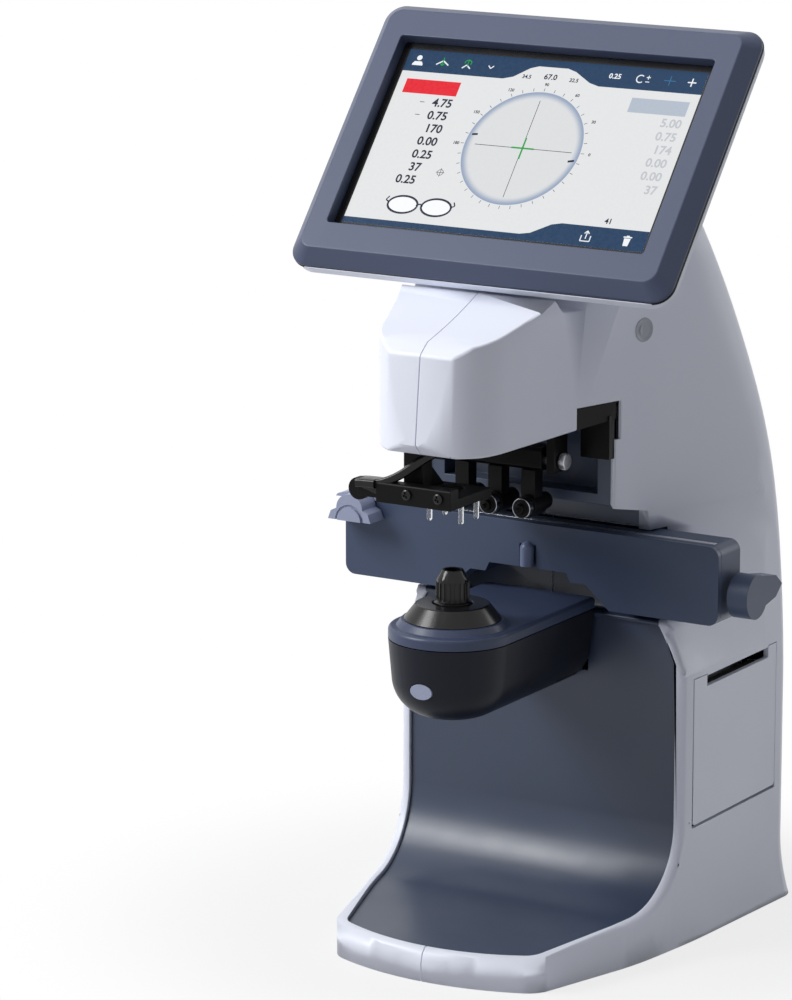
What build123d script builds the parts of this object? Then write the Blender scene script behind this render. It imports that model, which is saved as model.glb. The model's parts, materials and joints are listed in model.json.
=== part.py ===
"""Auto lensmeter: a desk instrument that measures spectacle lenses.

Millimetres, +Z up, +X to the right of the user, +Y away from the user.
The origin is on the standing face, in the middle of the base.
A setback is a distance behind the front edge of the base.
"""
from build123d import *
import os

os.makedirs("parts", exist_ok=True)

# Body, overall
base_depth = 216.0
half_width = 75.3
wall = 2.5
seam_gap = 0.3
fit_gap = 0.35
rim_height = 0.2

# Body, side outline
base_front_height = 8.6
base_top_front = 15.2
base_top_rear = 23.9
column_setback = 104.0
bend_radius = 36.0
bay_bottom = 151.0
bay_top = 191.6
bay_depth = 11.0
ledge_height = 200.4
recess_setback = 84.0
head_bottom = 238.7
head_bottom_rear = 245.0
head_front = -5.2
head_front_top = -1.3
head_shoulder = 282.8
head_top_front = 287.8
head_top_rear = 302.6
head_top_end = 47.4
column_back = 211.5
rear_face = column_back - 0.7
narrow_start = 126.0
panel_rim = 5.0
panel_recess = 1.8
panel_wall = 2.4

# Display, placed by the middle of its picture
display_tilt = 39.9
picture_setback = 88.3
picture_height = 363.1
ramp_drop = 25.0

# Optical axis and arm
axis_setback = 26.5
arm_radius = 28.5
arm_nose = axis_setback - arm_radius
arm_parting = 152.0
nose_radius = 7.1
nose_bore = 3.6
nose_top = 182.6


def at(setback):
    """Y of a point that lies this far behind the front edge of the base."""
    return setback - base_depth / 2


display_plane = Plane(
    origin=(0, at(picture_setback), picture_height), x_dir=(1, 0, 0), z_dir=(0, -1, 0)
).rotated((-display_tilt, 0, 0))


def display_point(up, out):
    """Y and Z of a point this far up the display and out of its picture."""
    place = display_plane.from_local_coords((0, up, out))
    return (place.Y, place.Z)


def block(x, setback, z, mode=Mode.ADD):
    """A box given by its limits on each axis."""
    middle = ((x[0] + x[1]) / 2, at((setback[0] + setback[1]) / 2), (z[0] + z[1]) / 2)
    with Locations(middle):
        Box(x[1] - x[0], setback[1] - setback[0], z[1] - z[0], mode=mode)


def upright(x, setback, z, radius, mode=Mode.ADD):
    """A round bar that stands between two heights."""
    with Locations((x, at(setback), (z[0] + z[1]) / 2)):
        Cylinder(radius, z[1] - z[0], mode=mode)


def deep_bar(x, setback, z, radius, mode=Mode.ADD):
    """A round bar that runs front to back between two setbacks."""
    with Locations((x, at((setback[0] + setback[1]) / 2), z)):
        Cylinder(radius, setback[1] - setback[0], rotation=(90, 0, 0), mode=mode)


def cross_bar(x, setback, z, radius, mode=Mode.ADD):
    """A round bar that runs left to right between two X."""
    with Locations(((x[0] + x[1]) / 2, at(setback), z)):
        Cylinder(radius, x[1] - x[0], rotation=(0, 90, 0), mode=mode)


def side_outline(inset):
    """The body seen from its side, on the YZ plane."""
    bay_back = column_setback + bay_depth
    floor = rim_height - 2 * inset
    with BuildSketch(Plane.YZ) as outline:
        with BuildLine():
            low = Polyline(
                (at(0), floor),
                (at(0), base_front_height),
                (at(1), base_front_height + 4),
                (at(3.4), base_top_front),
                (at(column_setback), base_top_rear),
                (at(column_setback), bay_bottom),
                (at(bay_back), bay_bottom),
                (at(bay_back), bay_top),
                (at(column_setback), bay_top),
                (at(column_setback), ledge_height),
                (at(recess_setback), ledge_height + 4),
                (at(recess_setback), head_bottom_rear),
                (at(8), head_bottom),
                (at(0), head_bottom),
                (at(head_front), head_bottom + 5),
                (at(head_front_top), head_shoulder),
                (at(4.8), head_top_front),
            )
            slope = ThreePointArc(low @ 1, (at(26.6), 294.4), (at(head_top_end), head_top_rear))
            trough = Polyline(
                slope @ 1, (at(52), 296.5), display_point(-66, -ramp_drop), display_point(12, -ramp_drop)
            )
            crown = Line(trough @ 1, (at(134), 352))
            Polyline(crown @ 1, (at(column_back + 28.5), 352), (at(column_back + 28.5), floor), low @ 0)
        make_face()
        bend = outline.vertices().sort_by_distance((at(column_setback), base_top_rear, 0))[0]
        fillet(bend, bend_radius)
        if inset:
            offset(amount=-inset, kind=Kind.ARC, mode=Mode.REPLACE)
    return outline.sketch


def plan_outline(side, height, inset, nose=None):
    """The body seen from above.

    The right side is a list of X, setback and corner radius, from the front to the rear.
    A nose is the setback of the middle of a rounded front. The rear is cut by rear_wrap.
    """
    first_x, first_setback = side[0][:2]
    corners = side + [(side[-1][0], column_back + 28.5, 0)]
    with BuildSketch(Plane.XY.offset(height)) as outline:
        with BuildLine():
            if nose is None:
                Line((-first_x, at(first_setback)), (first_x, at(first_setback)))
            else:
                ThreePointArc((-first_x, at(first_setback)), (0, at(nose)), (first_x, at(first_setback)))
            right = [(x, at(setback)) for x, setback, radius in corners]
            left = [(-x, y) for x, y in reversed(right)]
            Polyline(right + left)
        make_face()
        for x, setback, radius in corners:
            if radius:
                for hand in (-x, x):
                    fillet(outline.vertices().sort_by_distance((hand, at(setback), 0))[0], radius)
        if inset:
            offset(amount=-inset, kind=Kind.ARC, mode=Mode.REPLACE)
    return outline.sketch


base_side = [(half_width - 22.3, 12, 14), (half_width - 5.1, 70, 200), (half_width, 112, 200)]
head_side = [
    (31.5, 19.6, 30), (half_width - 31.3, 66, 60), (half_width - 18.3, 110, 90), (half_width, 180, 60),
]


def column_side(front, middle):
    """Right side of the column at a height where its front has narrowed."""
    return [(front, 98, 0), (middle, 150, 0), (half_width, 180, 0)]


# The rear: its setback and its half-width at growing heights, and its corner radius
rear_setbacks = [
    (column_back, 100), (column_back - 3.2, 150), (column_back - 8.5, 186), (column_back - 19.5, 237),
    (column_back - 40, 290), (column_back - 61.5, 330), (column_back - 78.5, 356),
]
rear_widths = [
    (half_width + 0.1, 165), (half_width - 1.3, 210), (half_width - 7.2, 263), (half_width - 13, 310),
    (half_width - 20.3, 356),
]
rear_radius = 16.0


def rear_wrap(inset):
    """The room in front of the rear face and between the flanks, with round rear corners."""
    with BuildPart() as wrap:
        with BuildSketch(Plane.YZ):
            with BuildLine():
                back = [(at(setback) - inset, height) for setback, height in rear_setbacks]
                curve = Spline(back, tangents=((0, 1), (-0.6, 0.8)))
                Polyline(curve @ 1, (at(-80), 356), (at(-80), -20), (back[0][0], -20), back[0])
            make_face()
        extrude(amount=120, both=True)
        with BuildSketch(Plane.XZ):
            with BuildLine():
                flank = [(side - inset, height) for side, height in rear_widths]
                rise = Spline(flank, tangents=((0, 1), (-0.16, 0.98)))
                Polyline(rise @ 1, (0, 356), (0, -20), (flank[0][0], -20), flank[0])
            make_face()
            mirror(about=Plane.YZ)
        extrude(amount=300, both=True, mode=Mode.INTERSECT)
        rear_edges = [
            edge for edge in wrap.edges()
            if edge.center().Y > at(100) and abs(edge.tangent_at(0.5).Z) > 0.5
        ]
        fillet(rear_edges, rear_radius - inset)
    return wrap.part


def body_solid(inset):
    """The whole body as a solid, or the room inside it when an inset is given."""
    with BuildPart() as body:
        extrude(plan_outline(base_side, -6, inset, 0), amount=narrow_start + 6)
        with BuildSketch(Plane.XY.offset(narrow_start)):
            add(plan_outline(column_side(half_width - 0.4, half_width - 0.1), 0, inset))
        with BuildSketch(Plane.XY.offset(146)):
            add(plan_outline(column_side(half_width - 9.3, half_width - 3.3), 0, inset))
        with BuildSketch(Plane.XY.offset(198)):
            add(plan_outline(column_side(half_width - 21.3, half_width - 8.3), 0, inset))
        loft()
        extrude(plan_outline(head_side, 198, inset, head_front), amount=160)
        extrude(side_outline(inset), amount=120, both=True, mode=Mode.INTERSECT)
        add(rear_wrap(inset), mode=Mode.INTERSECT)
    return body.part


def panel_region(clear):
    """The dark panel's own outline on the base top and up the column, grown by a clearance."""
    with BuildPart() as region:
        extrude(plan_outline(base_side, 0, panel_rim - clear, 0), amount=bay_bottom)
        with BuildSketch(Plane.XZ.offset(-at(-5))):
            with BuildLine():
                edge = half_width + clear
                up = Polyline((0, -1), (edge + 15, -1), (edge + 15, 112), (edge - 2.3, 121))
                rise = Spline(up @ 1, (edge - 8.3, 136), (edge - 14.8, 148 + clear))
                Line(rise @ 1, (0, 148 + clear))
                Line((0, 148 + clear), (0, -1))
            make_face()
            mirror(about=Plane.YZ)
        extrude(amount=-(column_setback + 10), mode=Mode.INTERSECT)
    return region.part


def recess_region(clear):
    """Outline of the neck panel, from the ledge over the table up to the head's underside."""
    with BuildPart() as region:
        with BuildSketch(Plane.XZ.offset(-at(80))):
            with BuildLine():
                Polyline(
                    (0, bay_top + 0.3 - clear),
                    (50 + clear, bay_top + 0.3 - clear),
                    (50 + clear, ledge_height),
                    (46.5 + clear, ledge_height + 6),
                    (46.5 + clear, 243.4 + clear),
                    (0, 243.4 + clear),
                    close=True,
                )
            make_face()
            mirror(about=Plane.YZ)
        extrude(amount=-28)
    return region.part


def printer_region(clear):
    """The printer cover's outline on the right side, with its two raised ears."""
    grow = clear
    with BuildPart() as region:
        with BuildSketch(Plane.YZ.offset(half_width - 9)):
            with BuildLine():
                Polyline(
                    (at(cover_front - grow), cover_bottom - grow),
                    (at(cover_rear + grow), cover_bottom - grow),
                    (at(cover_rear + grow), cover_top + 5.5 + grow),
                    (at(slot_rear - grow), cover_top + 5.5 + grow),
                    (at(slot_rear - grow), cover_top),
                    (at(slot_front + grow), cover_top),
                    (at(slot_front + grow), cover_top + 5.5 + grow),
                    (at(cover_front - grow), cover_top + 5.5 + grow),
                    close=True,
                )
            make_face()
            fillet(vertices().group_by(Axis.Y)[0], 2)
        extrude(amount=20)
    return region.part


# Table
table_half = 97.0
table_front = 92.0
table_back = 106.5
wing_back = 112.8
table_bottom = 155.0
arch_top = 169.7
slider_x = -87.5
table_top = 190.8
rod_radius = 4.0
rod_spread = 30.0
rod_height = 177.0
run_gap = 0.05
lever_setback = 104.5
lever_height = 167.6

# Printer
cover_front = 112.5
cover_rear = 192.0
cover_bottom = 55.0
cover_top = 117.6
slot_front = 124.5
slot_rear = 184.2
slot_height = 5.0
paper_radius = 19.0
paper_x = 42.0
paper_height = 84.0

cover_hinge_x = half_width - 1.3
cover_hinge_height = 57.0
platen_x = half_width - 8.3
platen_height = 111.0

# Display
bezel_middle = -2.6
bezel_front = 6.0
bezel_width = 193.0
bezel_height = 138.4
glass_width = 160.0
glass_height = 98.8

# Hinge of the display, from the middle of its picture
hinge_up = -1.0
hinge_out = -30.0

# Marker and lens holder
axle_setback = 68.0
axle_height = 227.0
axle_radius = 2.5
bracket_x = 28.5
pen_height = 206.0
pen_spread = 17.0
pen_radius = 4.0
pin_radius = 1.2

# Small parts of the head's sides
plate_top = 252.85
plate_front = 61.0
plate_x = 46.5
tab_x = 41.2
tab_half = 7.3
tab_bottom = 227.3
plug_setback = 100.0
plug_height = 283.0

# Base panel, seen at the rear
rear_half = 42.0
rear_low = 14.0
rear_high = 62.0

# The housing: a thin shell split down the middle
with BuildPart() as housing:
    add(body_solid(0))
    add(body_solid(wall), mode=Mode.SUBTRACT)
    add(panel_region(fit_gap), mode=Mode.SUBTRACT)
    add(printer_region(fit_gap), mode=Mode.SUBTRACT)
    # Paper slot between the cover and the housing
    block(
        (half_width - 9, half_width + 9),
        (slot_front, slot_rear),
        (cover_top, cover_top + slot_height),
        Mode.SUBTRACT,
    )
    add(recess_region(fit_gap), mode=Mode.SUBTRACT)
    # Way into the head for the lens holder
    block((-18, 18), (6, 34), (head_bottom - 3, head_bottom + 6), Mode.SUBTRACT)
    # Ends of the marker bracket
    for side in (-1, 1):
        block(
            (side * bracket_x - 3, side * bracket_x + 3),
            (axle_setback - 8, axle_setback + 8),
            (head_bottom - 3, head_bottom + 9),
            Mode.SUBTRACT,
        )
        # Notch for the black plate beside the neck
        block(
            (side * plate_x - 13.5, side * plate_x + 13.5),
            (plate_front - fit_gap, recess_setback + 3),
            (head_bottom - 3, plate_top + fit_gap),
            Mode.SUBTRACT,
        )
    # Guide bushes and arm pass the front wall of the column
    for x in (-rod_spread, rod_spread):
        deep_bar(x, (112, 120), rod_height, 7.3, Mode.SUBTRACT)
    block((-24, 24), (100, 112), (122, 148.6), Mode.SUBTRACT)
    # Display bracket pocket in the sloping top
    with BuildSketch(display_plane.offset(hinge_out - 7)):
        with Locations((0, hinge_up - 2)):
            Rectangle(76, 20)
    extrude(amount=20, mode=Mode.SUBTRACT)
    # Rear panel window
    block(
        (-rear_half - fit_gap, rear_half + fit_gap),
        (rear_face - 10.8, rear_face + 9.2),
        (rear_low - fit_gap, rear_high + fit_gap),
        Mode.SUBTRACT,
    )
    # Room under the printer cover for its lower edge to turn, and the sockets of its hinge
    block(
        (half_width - 5.3, half_width + 4.7),
        (cover_front - fit_gap, cover_rear + fit_gap),
        (cover_bottom - 1.4, cover_bottom + 2.5),
        Mode.SUBTRACT,
    )
    deep_bar(cover_hinge_x, (cover_front - 3, cover_rear + 3), cover_hinge_height, 0.85, Mode.SUBTRACT)
    # Trim plugs of the head
    cross_bar((-80, 80), plug_setback, plug_height, 3.2, Mode.SUBTRACT)

for name, side in (("shell_left", -1), ("shell_right", 1)):
    with BuildPart() as half:
        add(housing.part)
        middle = side * (100 + seam_gap / 2)
        block((middle - 100, middle + 100), (-60, 300), (-10, 400), Mode.INTERSECT)
    half.part.label = name
    export_step(half.part, f"parts/{name}.step")

# Dark panel over the base and the column
with BuildPart() as front_panel:
    add(body_solid(panel_recess))
    add(body_solid(panel_recess + panel_wall), mode=Mode.SUBTRACT)
    add(panel_region(0), mode=Mode.INTERSECT)
    block((-90, 90), (-10, 120), (-5, 11), Mode.SUBTRACT)
    block((-24, 24), (90, 115), (122, 148.2), Mode.SUBTRACT)
front_panel.part.label = "front_panel"
export_step(front_panel.part, "parts/front_panel.step")

# Slate panel of the neck: a rim round a dark tray behind the markers
with BuildPart() as recess_panel:
    add(body_solid(1.0))
    add(body_solid(3.4), mode=Mode.SUBTRACT)
    add(recess_region(0), mode=Mode.INTERSECT)
    block((-41.5, 41.5), (recess_setback + 1.5, recess_setback + 13), (208, 243.4))
    block((-39.5, 39.5), (recess_setback - 4, recess_setback + 11), (210, 250), Mode.SUBTRACT)
recess_panel.part.label = "recess_panel"
export_step(recess_panel.part, "parts/recess_panel.step")

# Black plates let into the head's sides, with a tab that hangs beside the neck
with BuildPart() as neck_plates:
    add(body_solid(0.2))
    with BuildPart(mode=Mode.PRIVATE) as place:
        for side in (-1, 1):
            block(
                (side * plate_x - 13.1, side * plate_x + 13.1),
                (plate_front, recess_setback),
                (head_bottom - 6, plate_top),
            )
    add(place.part, mode=Mode.INTERSECT)
    for side in (-1, 1):
        block(
            (side * tab_x - tab_half, side * tab_x + tab_half),
            (recess_setback - 4.5, recess_setback - 0.05),
            (tab_bottom, head_bottom_rear + 2),
        )
neck_plates.part.label = "neck_plates"
export_step(neck_plates.part, "parts/neck_plates.step")

# Base plate, feet and frame
with BuildPart() as base_plate:
    with BuildSketch(Plane.XY.offset(2)):
        add(plan_outline(base_side, 0, wall + fit_gap, 0))
    extrude(amount=2.5)
    add(rear_wrap(wall + fit_gap), mode=Mode.INTERSECT)
    for x in (-14, 0, 14):
        for s in (60, 80, 100):
            with Locations((x, at(s), 3)):
                Box(4, 12, 5, mode=Mode.SUBTRACT)
base_plate.part.label = "base_plate"
export_step(base_plate.part, "parts/base_plate.step")

with BuildPart() as rubber_feet:
    for x, s in ((-45, 28), (45, 28), (-58, 190), (58, 190)):
        upright(x, s, (0, 2), 9)
rubber_feet.part.label = "rubber_feet"
export_step(rubber_feet.part, "parts/rubber_feet.step")

with BuildPart() as chassis:
    block((-50, 50), (122, 196), (4.5, 7))
    block((-50, 50), (194, 196), (4.5, 204))
    # Front web behind the column panel, carrying the arm and the bushes
    block((-50, 50), (120, 122), (4.5, 204))
    block((-50, 16), (121, 196), (158, 160))
    block((-40, 40), (120, 122), (200, 300))
    block((-40, 40), (120, 190), (202, 204))
    # Two beams into the head, joined at the front by a cross piece
    block((-32, -28), (36.5, 121), (258, 272))
    block((28, 32), (36.5, 121), (258, 272))
    block((-32, 32), (36.5, 39.5), (258, 272))
    for x in (-rod_spread, rod_spread):
        deep_bar(x, (118, 124), rod_height, 6, Mode.SUBTRACT)
    block((17, 50.5), (119, 123), (50, 128), Mode.SUBTRACT)
    block((17, 50.5), (193, 197), (50, 128), Mode.SUBTRACT)
    block((-26, 26), (119, 123), (118, 148), Mode.SUBTRACT)
    block((-44, 44), (193, 197), (9, 66), Mode.SUBTRACT)
chassis.part.label = "chassis"
export_step(chassis.part, "parts/chassis.step")


def arm_outline(inset, height):
    """The measuring arm from above: round at the front, straight to the column."""
    with BuildSketch(Plane.XY.offset(height)) as outline:
        with Locations((0, at(axis_setback))):
            Circle(arm_radius - inset)
        with Locations((0, at((axis_setback + column_setback) / 2))):
            Rectangle(2 * (arm_radius - inset), column_setback - axis_setback)
    return outline.sketch


def arm_bowl(inset):
    """Outside of the arm's lower shell, or its hollow when an inset is given."""
    with BuildPart() as bowl:
        add(arm_outline(inset, arm_parting))
        extrude(amount=-(arm_parting - 117 - inset), taper=5)
        fillet(bowl.faces().sort_by(Axis.Z)[0].edges().filter_by(Axis.X, reverse=True), 18 - inset)
    return bowl.part


with BuildPart() as arm_lower_shell:
    add(arm_bowl(0))
    add(arm_bowl(2.2), mode=Mode.SUBTRACT)
    block((-22, 22), (80, column_setback + 1), (122, arm_parting + 1), Mode.SUBTRACT)
    block((-40, 40), (column_setback - 0.4, 140), (100, 160), Mode.SUBTRACT)
    with BuildSketch(Plane.XZ.offset(-at(-4))):
        with Locations((0, 132.8)):
            Ellipse(5.8, 3.8)
    extrude(amount=-14, mode=Mode.SUBTRACT)
arm_lower_shell.part.label = "arm_lower_shell"
export_step(arm_lower_shell.part, "parts/arm_lower_shell.step")

# Bracket inside the arm, bolted to the web of the frame
with BuildPart() as arm_bracket:
    block((-15, 15), (22, 122), (124, 126))
    block((-20, 20), (117, 119.9), (124, 146))
    block((-15, -13), (22, 118), (124, 146))
    block((13, 15), (22, 118), (124, 146))
arm_bracket.part.label = "arm_bracket"
export_step(arm_bracket.part, "parts/arm_bracket.step")

with BuildPart() as arm_cap:
    add(arm_outline(0, arm_parting + fit_gap))
    extrude(amount=5.3)
    fillet(arm_cap.faces().sort_by(Axis.Z)[-1].edges(), 2)
    with BuildSketch(Plane.XY.offset(arm_parting + 3)):
        with Locations((0, at(axis_setback))):
            Circle(27)
    extrude(amount=5.5, taper=38)
    upright(0, axis_setback, (arm_parting, 170), nose_radius + 4.4, Mode.SUBTRACT)
    block((-40, 40), (column_setback - 0.4, 140), (100, 170), Mode.SUBTRACT)
arm_cap.part.label = "arm_cap"
export_step(arm_cap.part, "parts/arm_cap.step")

with BuildPart() as nosepiece_ring:
    with BuildSketch(Plane.XY.offset(160.5)):
        with Locations((0, at(axis_setback))):
            Circle(21.8)
    extrude(amount=7.1, taper=38)
    upright(0, axis_setback, (160, 168), nose_radius + 1.7, Mode.SUBTRACT)
nosepiece_ring.part.label = "nosepiece_ring"
export_step(nosepiece_ring.part, "parts/nosepiece_ring.step")

# Lens rest that lifts off its ring for cleaning
with BuildPart() as nosepiece:
    with BuildSketch(Plane.XZ.offset(-at(axis_setback))):
        with BuildLine():
            Polyline(
                (nose_bore, 156),
                (nose_radius + 1.3, 156),
                (nose_radius + 1.3, 168.2),
                (nose_radius, 168.8),
                (nose_radius, nose_top - 4.1),
                (nose_bore + 1.15, nose_top),
                (nose_bore, nose_top),
                close=True,
            )
        make_face()
    revolve(axis=Axis((0, at(axis_setback), 0), (0, 0, 1)))
    with Locations((0, at(axis_setback), 173.5)):
        with PolarLocations(nose_radius + 0.2, 18):
            Box(0.8, 0.9, 8, mode=Mode.SUBTRACT)
nosepiece.part.label = "nosepiece"
export_step(nosepiece.part, "parts/nosepiece.step")

with BuildPart() as arm_objective:
    upright(0, axis_setback, (128, 155.4), 9)
    upright(0, axis_setback, (127, 150), 7.5, Mode.SUBTRACT)
    upright(0, axis_setback, (153, 156), 7.5, Mode.SUBTRACT)
arm_objective.part.label = "arm_objective"
export_step(arm_objective.part, "parts/arm_objective.step")

with BuildPart() as sensor_board:
    block((-12.6, 12.6), (12, 60), (126, 127.6))
    block((-5, 5), (21.5, 31.5), (127.6, 129.4))
    block((-4, 4), (12, 16.8), (127.6, 137.6))
sensor_board.part.label = "sensor_board"
export_step(sensor_board.part, "parts/sensor_board.step")

with BuildPart() as read_button:
    with BuildSketch(Plane.XZ.offset(-at(arm_nose + 1.6))):
        with Locations((0, 132.8)):
            Ellipse(5.5, 3.5)
    extrude(amount=-7.4)
    with BuildSketch(Plane.XZ.offset(-at(arm_nose + 9))):
        with Locations((0, 132.8)):
            Ellipse(6.8, 4.8)
    extrude(amount=-1.2)
    upright(0, arm_nose + 11.2, (131.3, 134.3), 1.2)
read_button.part.label = "read_button"
export_step(read_button.part, "parts/read_button.step")


def table_outline():
    """The lens table seen from the front, with the arch over the arm."""
    with BuildSketch(Plane.XZ.offset(-at(table_front))) as outline:
        with BuildLine():
            Polyline(
                (0, arch_top),
                (20, arch_top),
                (22, arch_top - 4.2),
                (30, arch_top - 4.2),
                (42, table_bottom),
                (table_half, table_bottom),
                (table_half, table_top),
                (0, table_top),
                close=True,
            )
        make_face()
        fillet(outline.vertices().sort_by(Axis.X)[-2:], 5)
        mirror(about=Plane.YZ)
    return outline.sketch


with BuildPart() as table_fascia:
    extrude(table_outline(), amount=3, dir=(0, 1, 0))
    with Locations((0, at(table_front), 175)):
        Cylinder(4.2, 11, mode=Mode.SUBTRACT)
table_fascia.part.label = "table_fascia"
export_step(table_fascia.part, "parts/table_fascia.step")

with BuildPart() as lens_table:
    extrude(table_outline(), amount=wing_back - table_front, dir=(0, 1, 0))
    block((-56, 56), (table_back, 120), (150, 195), Mode.SUBTRACT)
    block((-100, 100), (90, table_front + 3), (150, 195), Mode.SUBTRACT)
    block((-92, 92), (98, 101), (table_top - 1.6, table_top + 1), Mode.SUBTRACT)
    cross_bar((table_half - 12, table_half + 1), lever_setback, lever_height, 3 + run_gap, Mode.SUBTRACT)
    for x in (-rod_spread, rod_spread):
        deep_bar(x, (98, 120), rod_height, rod_radius, Mode.SUBTRACT)
lens_table.part.label = "lens_table"
export_step(lens_table.part, "parts/lens_table.step")

with BuildPart() as pd_rail:
    block((-91.8, 91.8), (98.1, 100.9), (table_top - 1.6, table_top))
pd_rail.part.label = "pd_rail"
export_step(pd_rail.part, "parts/pd_rail.step")

with BuildPart() as table_guide_rods:
    for x in (-rod_spread, rod_spread):
        deep_bar(x, (98, 188), rod_height, rod_radius)
table_guide_rods.part.label = "table_guide_rods"
export_step(table_guide_rods.part, "parts/table_guide_rods.step")

with BuildPart() as table_guide_bushes:
    for x in (-rod_spread, rod_spread):
        bay_inside = column_setback + bay_depth + wall
        deep_bar(x, (column_setback + bay_depth + 0.5, 140), rod_height, 6)
        deep_bar(x, (bay_inside + 0.3, bay_inside + 2.4), rod_height, 9)
        deep_bar(x, (100, 150), rod_height, rod_radius + run_gap, Mode.SUBTRACT)
table_guide_bushes.part.label = "table_guide_bushes"
export_step(table_guide_bushes.part, "parts/table_guide_bushes.step")

with BuildPart() as table_lever:
    cross_bar((table_half + 3, table_half + 13), lever_setback, lever_height, 10)
    with BuildSketch(Plane.YZ.offset(table_half + 4)):
        with BuildLine():
            Polyline(
                (at(lever_setback), lever_height + 9.5),
                (at(lever_setback + 20), lever_height + 6),
                (at(lever_setback + 26), lever_height + 1),
                (at(lever_setback + 20), lever_height - 4),
                (at(lever_setback), lever_height - 8),
                close=True,
            )
        make_face()
    extrude(amount=8)
    cross_bar((table_half - 5, table_half + 8), lever_setback, lever_height, 3, Mode.SUBTRACT)
table_lever.part.label = "table_lever"
export_step(table_lever.part, "parts/table_lever.step")

with BuildPart() as lever_shaft:
    cross_bar((table_half - 11, table_half + 8), lever_setback, lever_height, 3)
lever_shaft.part.label = "lever_shaft"
export_step(lever_shaft.part, "parts/lever_shaft.step")

# Slide that touches the spectacle frame and reads its centring
with BuildPart() as pd_slider:
    with BuildSketch(Plane.XZ.offset(-at(80))):
        with BuildLine():
            foot = Polyline(
                (slider_x + 7, 188.5),
                (slider_x + 10, 187),
                (slider_x + 11.5, 183),
                (slider_x - 11.5, 183),
                (slider_x - 10, 187),
                (slider_x - 7, 188.5),
            )
            ThreePointArc(foot @ 1, (slider_x, 195.5), foot @ 0)
        make_face()
    extrude(amount=-11.7)
    with BuildSketch(Plane.XZ.offset(-at(91.6))):
        with BuildLine():
            Polyline(
                (slider_x - 14.5, table_top + 0.3),
                (slider_x + 14.5, table_top + 0.3),
                (slider_x + 13.5, table_top + 1.5),
                (slider_x + 5.5, table_top + 3.8),
                (slider_x, table_top + 5),
                (slider_x - 5.5, table_top + 3.8),
                (slider_x - 13.5, table_top + 1.5),
                close=True,
            )
        make_face()
    extrude(amount=-11.2)
    block((slider_x - 1.5, slider_x + 1.5), (91, 102.8), (194, 196.2))
    with Locations((slider_x, at(80), 183)):
        Cylinder(7.5, 1.2, rotation=(90, 0, 0), mode=Mode.SUBTRACT)
        Cylinder(6.3, 1.2, rotation=(90, 0, 0))
    block((-110, -60), (70, 85), (170, 183), Mode.SUBTRACT)
pd_slider.part.label = "pd_slider"
export_step(pd_slider.part, "parts/pd_slider.step")

# Lens holder: an arm hanging from the head with four soft pins
with BuildPart() as lens_holder_arm:
    block((-16, -6), (11, 19), (219.3, 282))
    with BuildSketch(Plane.YZ.offset(-13)):
        with BuildLine():
            Polyline((at(19), 219.3), (at(34), 219.3), (at(19), 233), close=True)
        make_face()
    extrude(amount=4)
lens_holder_arm.part.label = "lens_holder_arm"
export_step(lens_holder_arm.part, "parts/lens_holder_arm.step")

with BuildPart() as lens_holder_block:
    block((-24, 14), (1, 8), (215, 224))
    block((-16, 14), (7, 36), (215, 219.3))
    with Locations((0, at(axis_setback), 217)):
        Cylinder(5, 6, mode=Mode.SUBTRACT)
    chamfer(lens_holder_block.edges().filter_by(Axis.X).sort_by(Axis.Z)[-2:], 0.6)
lens_holder_block.part.label = "lens_holder_block"
export_step(lens_holder_block.part, "parts/lens_holder_block.step")

with BuildPart() as holder_pins:
    for x in (-8, 8):
        for s in (20, 33):
            upright(x, s, (206, 215), pin_radius)
            with Locations((x, at(s), 206)):
                Sphere(pin_radius)
holder_pins.part.label = "holder_pins"
export_step(holder_pins.part, "parts/holder_pins.step")

with BuildPart() as holder_screws:
    for x in (-8, 8):
        deep_bar(x, (-0.2, 1), 220, 2.4)
        with Locations((x, at(-0.2), 220)):
            Box(3, 1, 0.6, mode=Mode.SUBTRACT)
            Box(0.6, 1, 3, mode=Mode.SUBTRACT)
holder_screws.part.label = "holder_screws"
export_step(holder_screws.part, "parts/holder_screws.step")

with BuildPart() as thumb_lever:
    block((-34, -24), (2, 7), (216.5, 222.5))
    with Locations((-34, at(4.5), 219.5)):
        Cylinder(5, 4, rotation=(90, 0, 0))
thumb_lever.part.label = "thumb_lever"
export_step(thumb_lever.part, "parts/thumb_lever.step")

# Plate in the head's window, with a hole for the light and one for the holder's arm
with BuildPart() as head_underplate:
    block((-17.6, 17.6), (6.4, 33.6), (238.8, 240.6))
    block((-16.6, -5.4), (10.4, 19.6), (238, 242), Mode.SUBTRACT)
    upright(0, axis_setback, (238, 242), 5, Mode.SUBTRACT)
head_underplate.part.label = "head_underplate"
export_step(head_underplate.part, "parts/head_underplate.step")

# Guide in the head that the holder's arm slides through
with BuildPart() as holder_guide:
    block((-20, -2), (6, 10.6), (244, 270))
    block((-20, -16.4), (6, 36.3), (244, 270))
    block((-5.6, -2), (6, 17), (244, 270))
    block((-16.4, -14), (19.4, 23), (244, 270))
    block((-21, -15.5), (24, 37), (241, 257), Mode.SUBTRACT)
holder_guide.part.label = "holder_guide"
export_step(holder_guide.part, "parts/holder_guide.step")

# Light source, straight above the lens rest
with BuildPart() as source_tube:
    upright(0, axis_setback, (248, 274), 8)
    block((-8, 8), (32, 36.3), (260, 270))
    upright(0, axis_setback, (247, 271), 6.6, Mode.SUBTRACT)
    upright(0, axis_setback, (268, 271.5), 1.8)
source_tube.part.label = "source_tube"
export_step(source_tube.part, "parts/source_tube.step")

with BuildPart() as collimator_lens:
    upright(0, axis_setback, (249.5, 252), 6.5)
    with Locations((0, at(axis_setback), 238)):
        Sphere(15.3)
    upright(0, axis_setback, (249.5, 256), 6.5, Mode.INTERSECT)
collimator_lens.part.label = "collimator_lens"
export_step(collimator_lens.part, "parts/collimator_lens.step")

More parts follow.
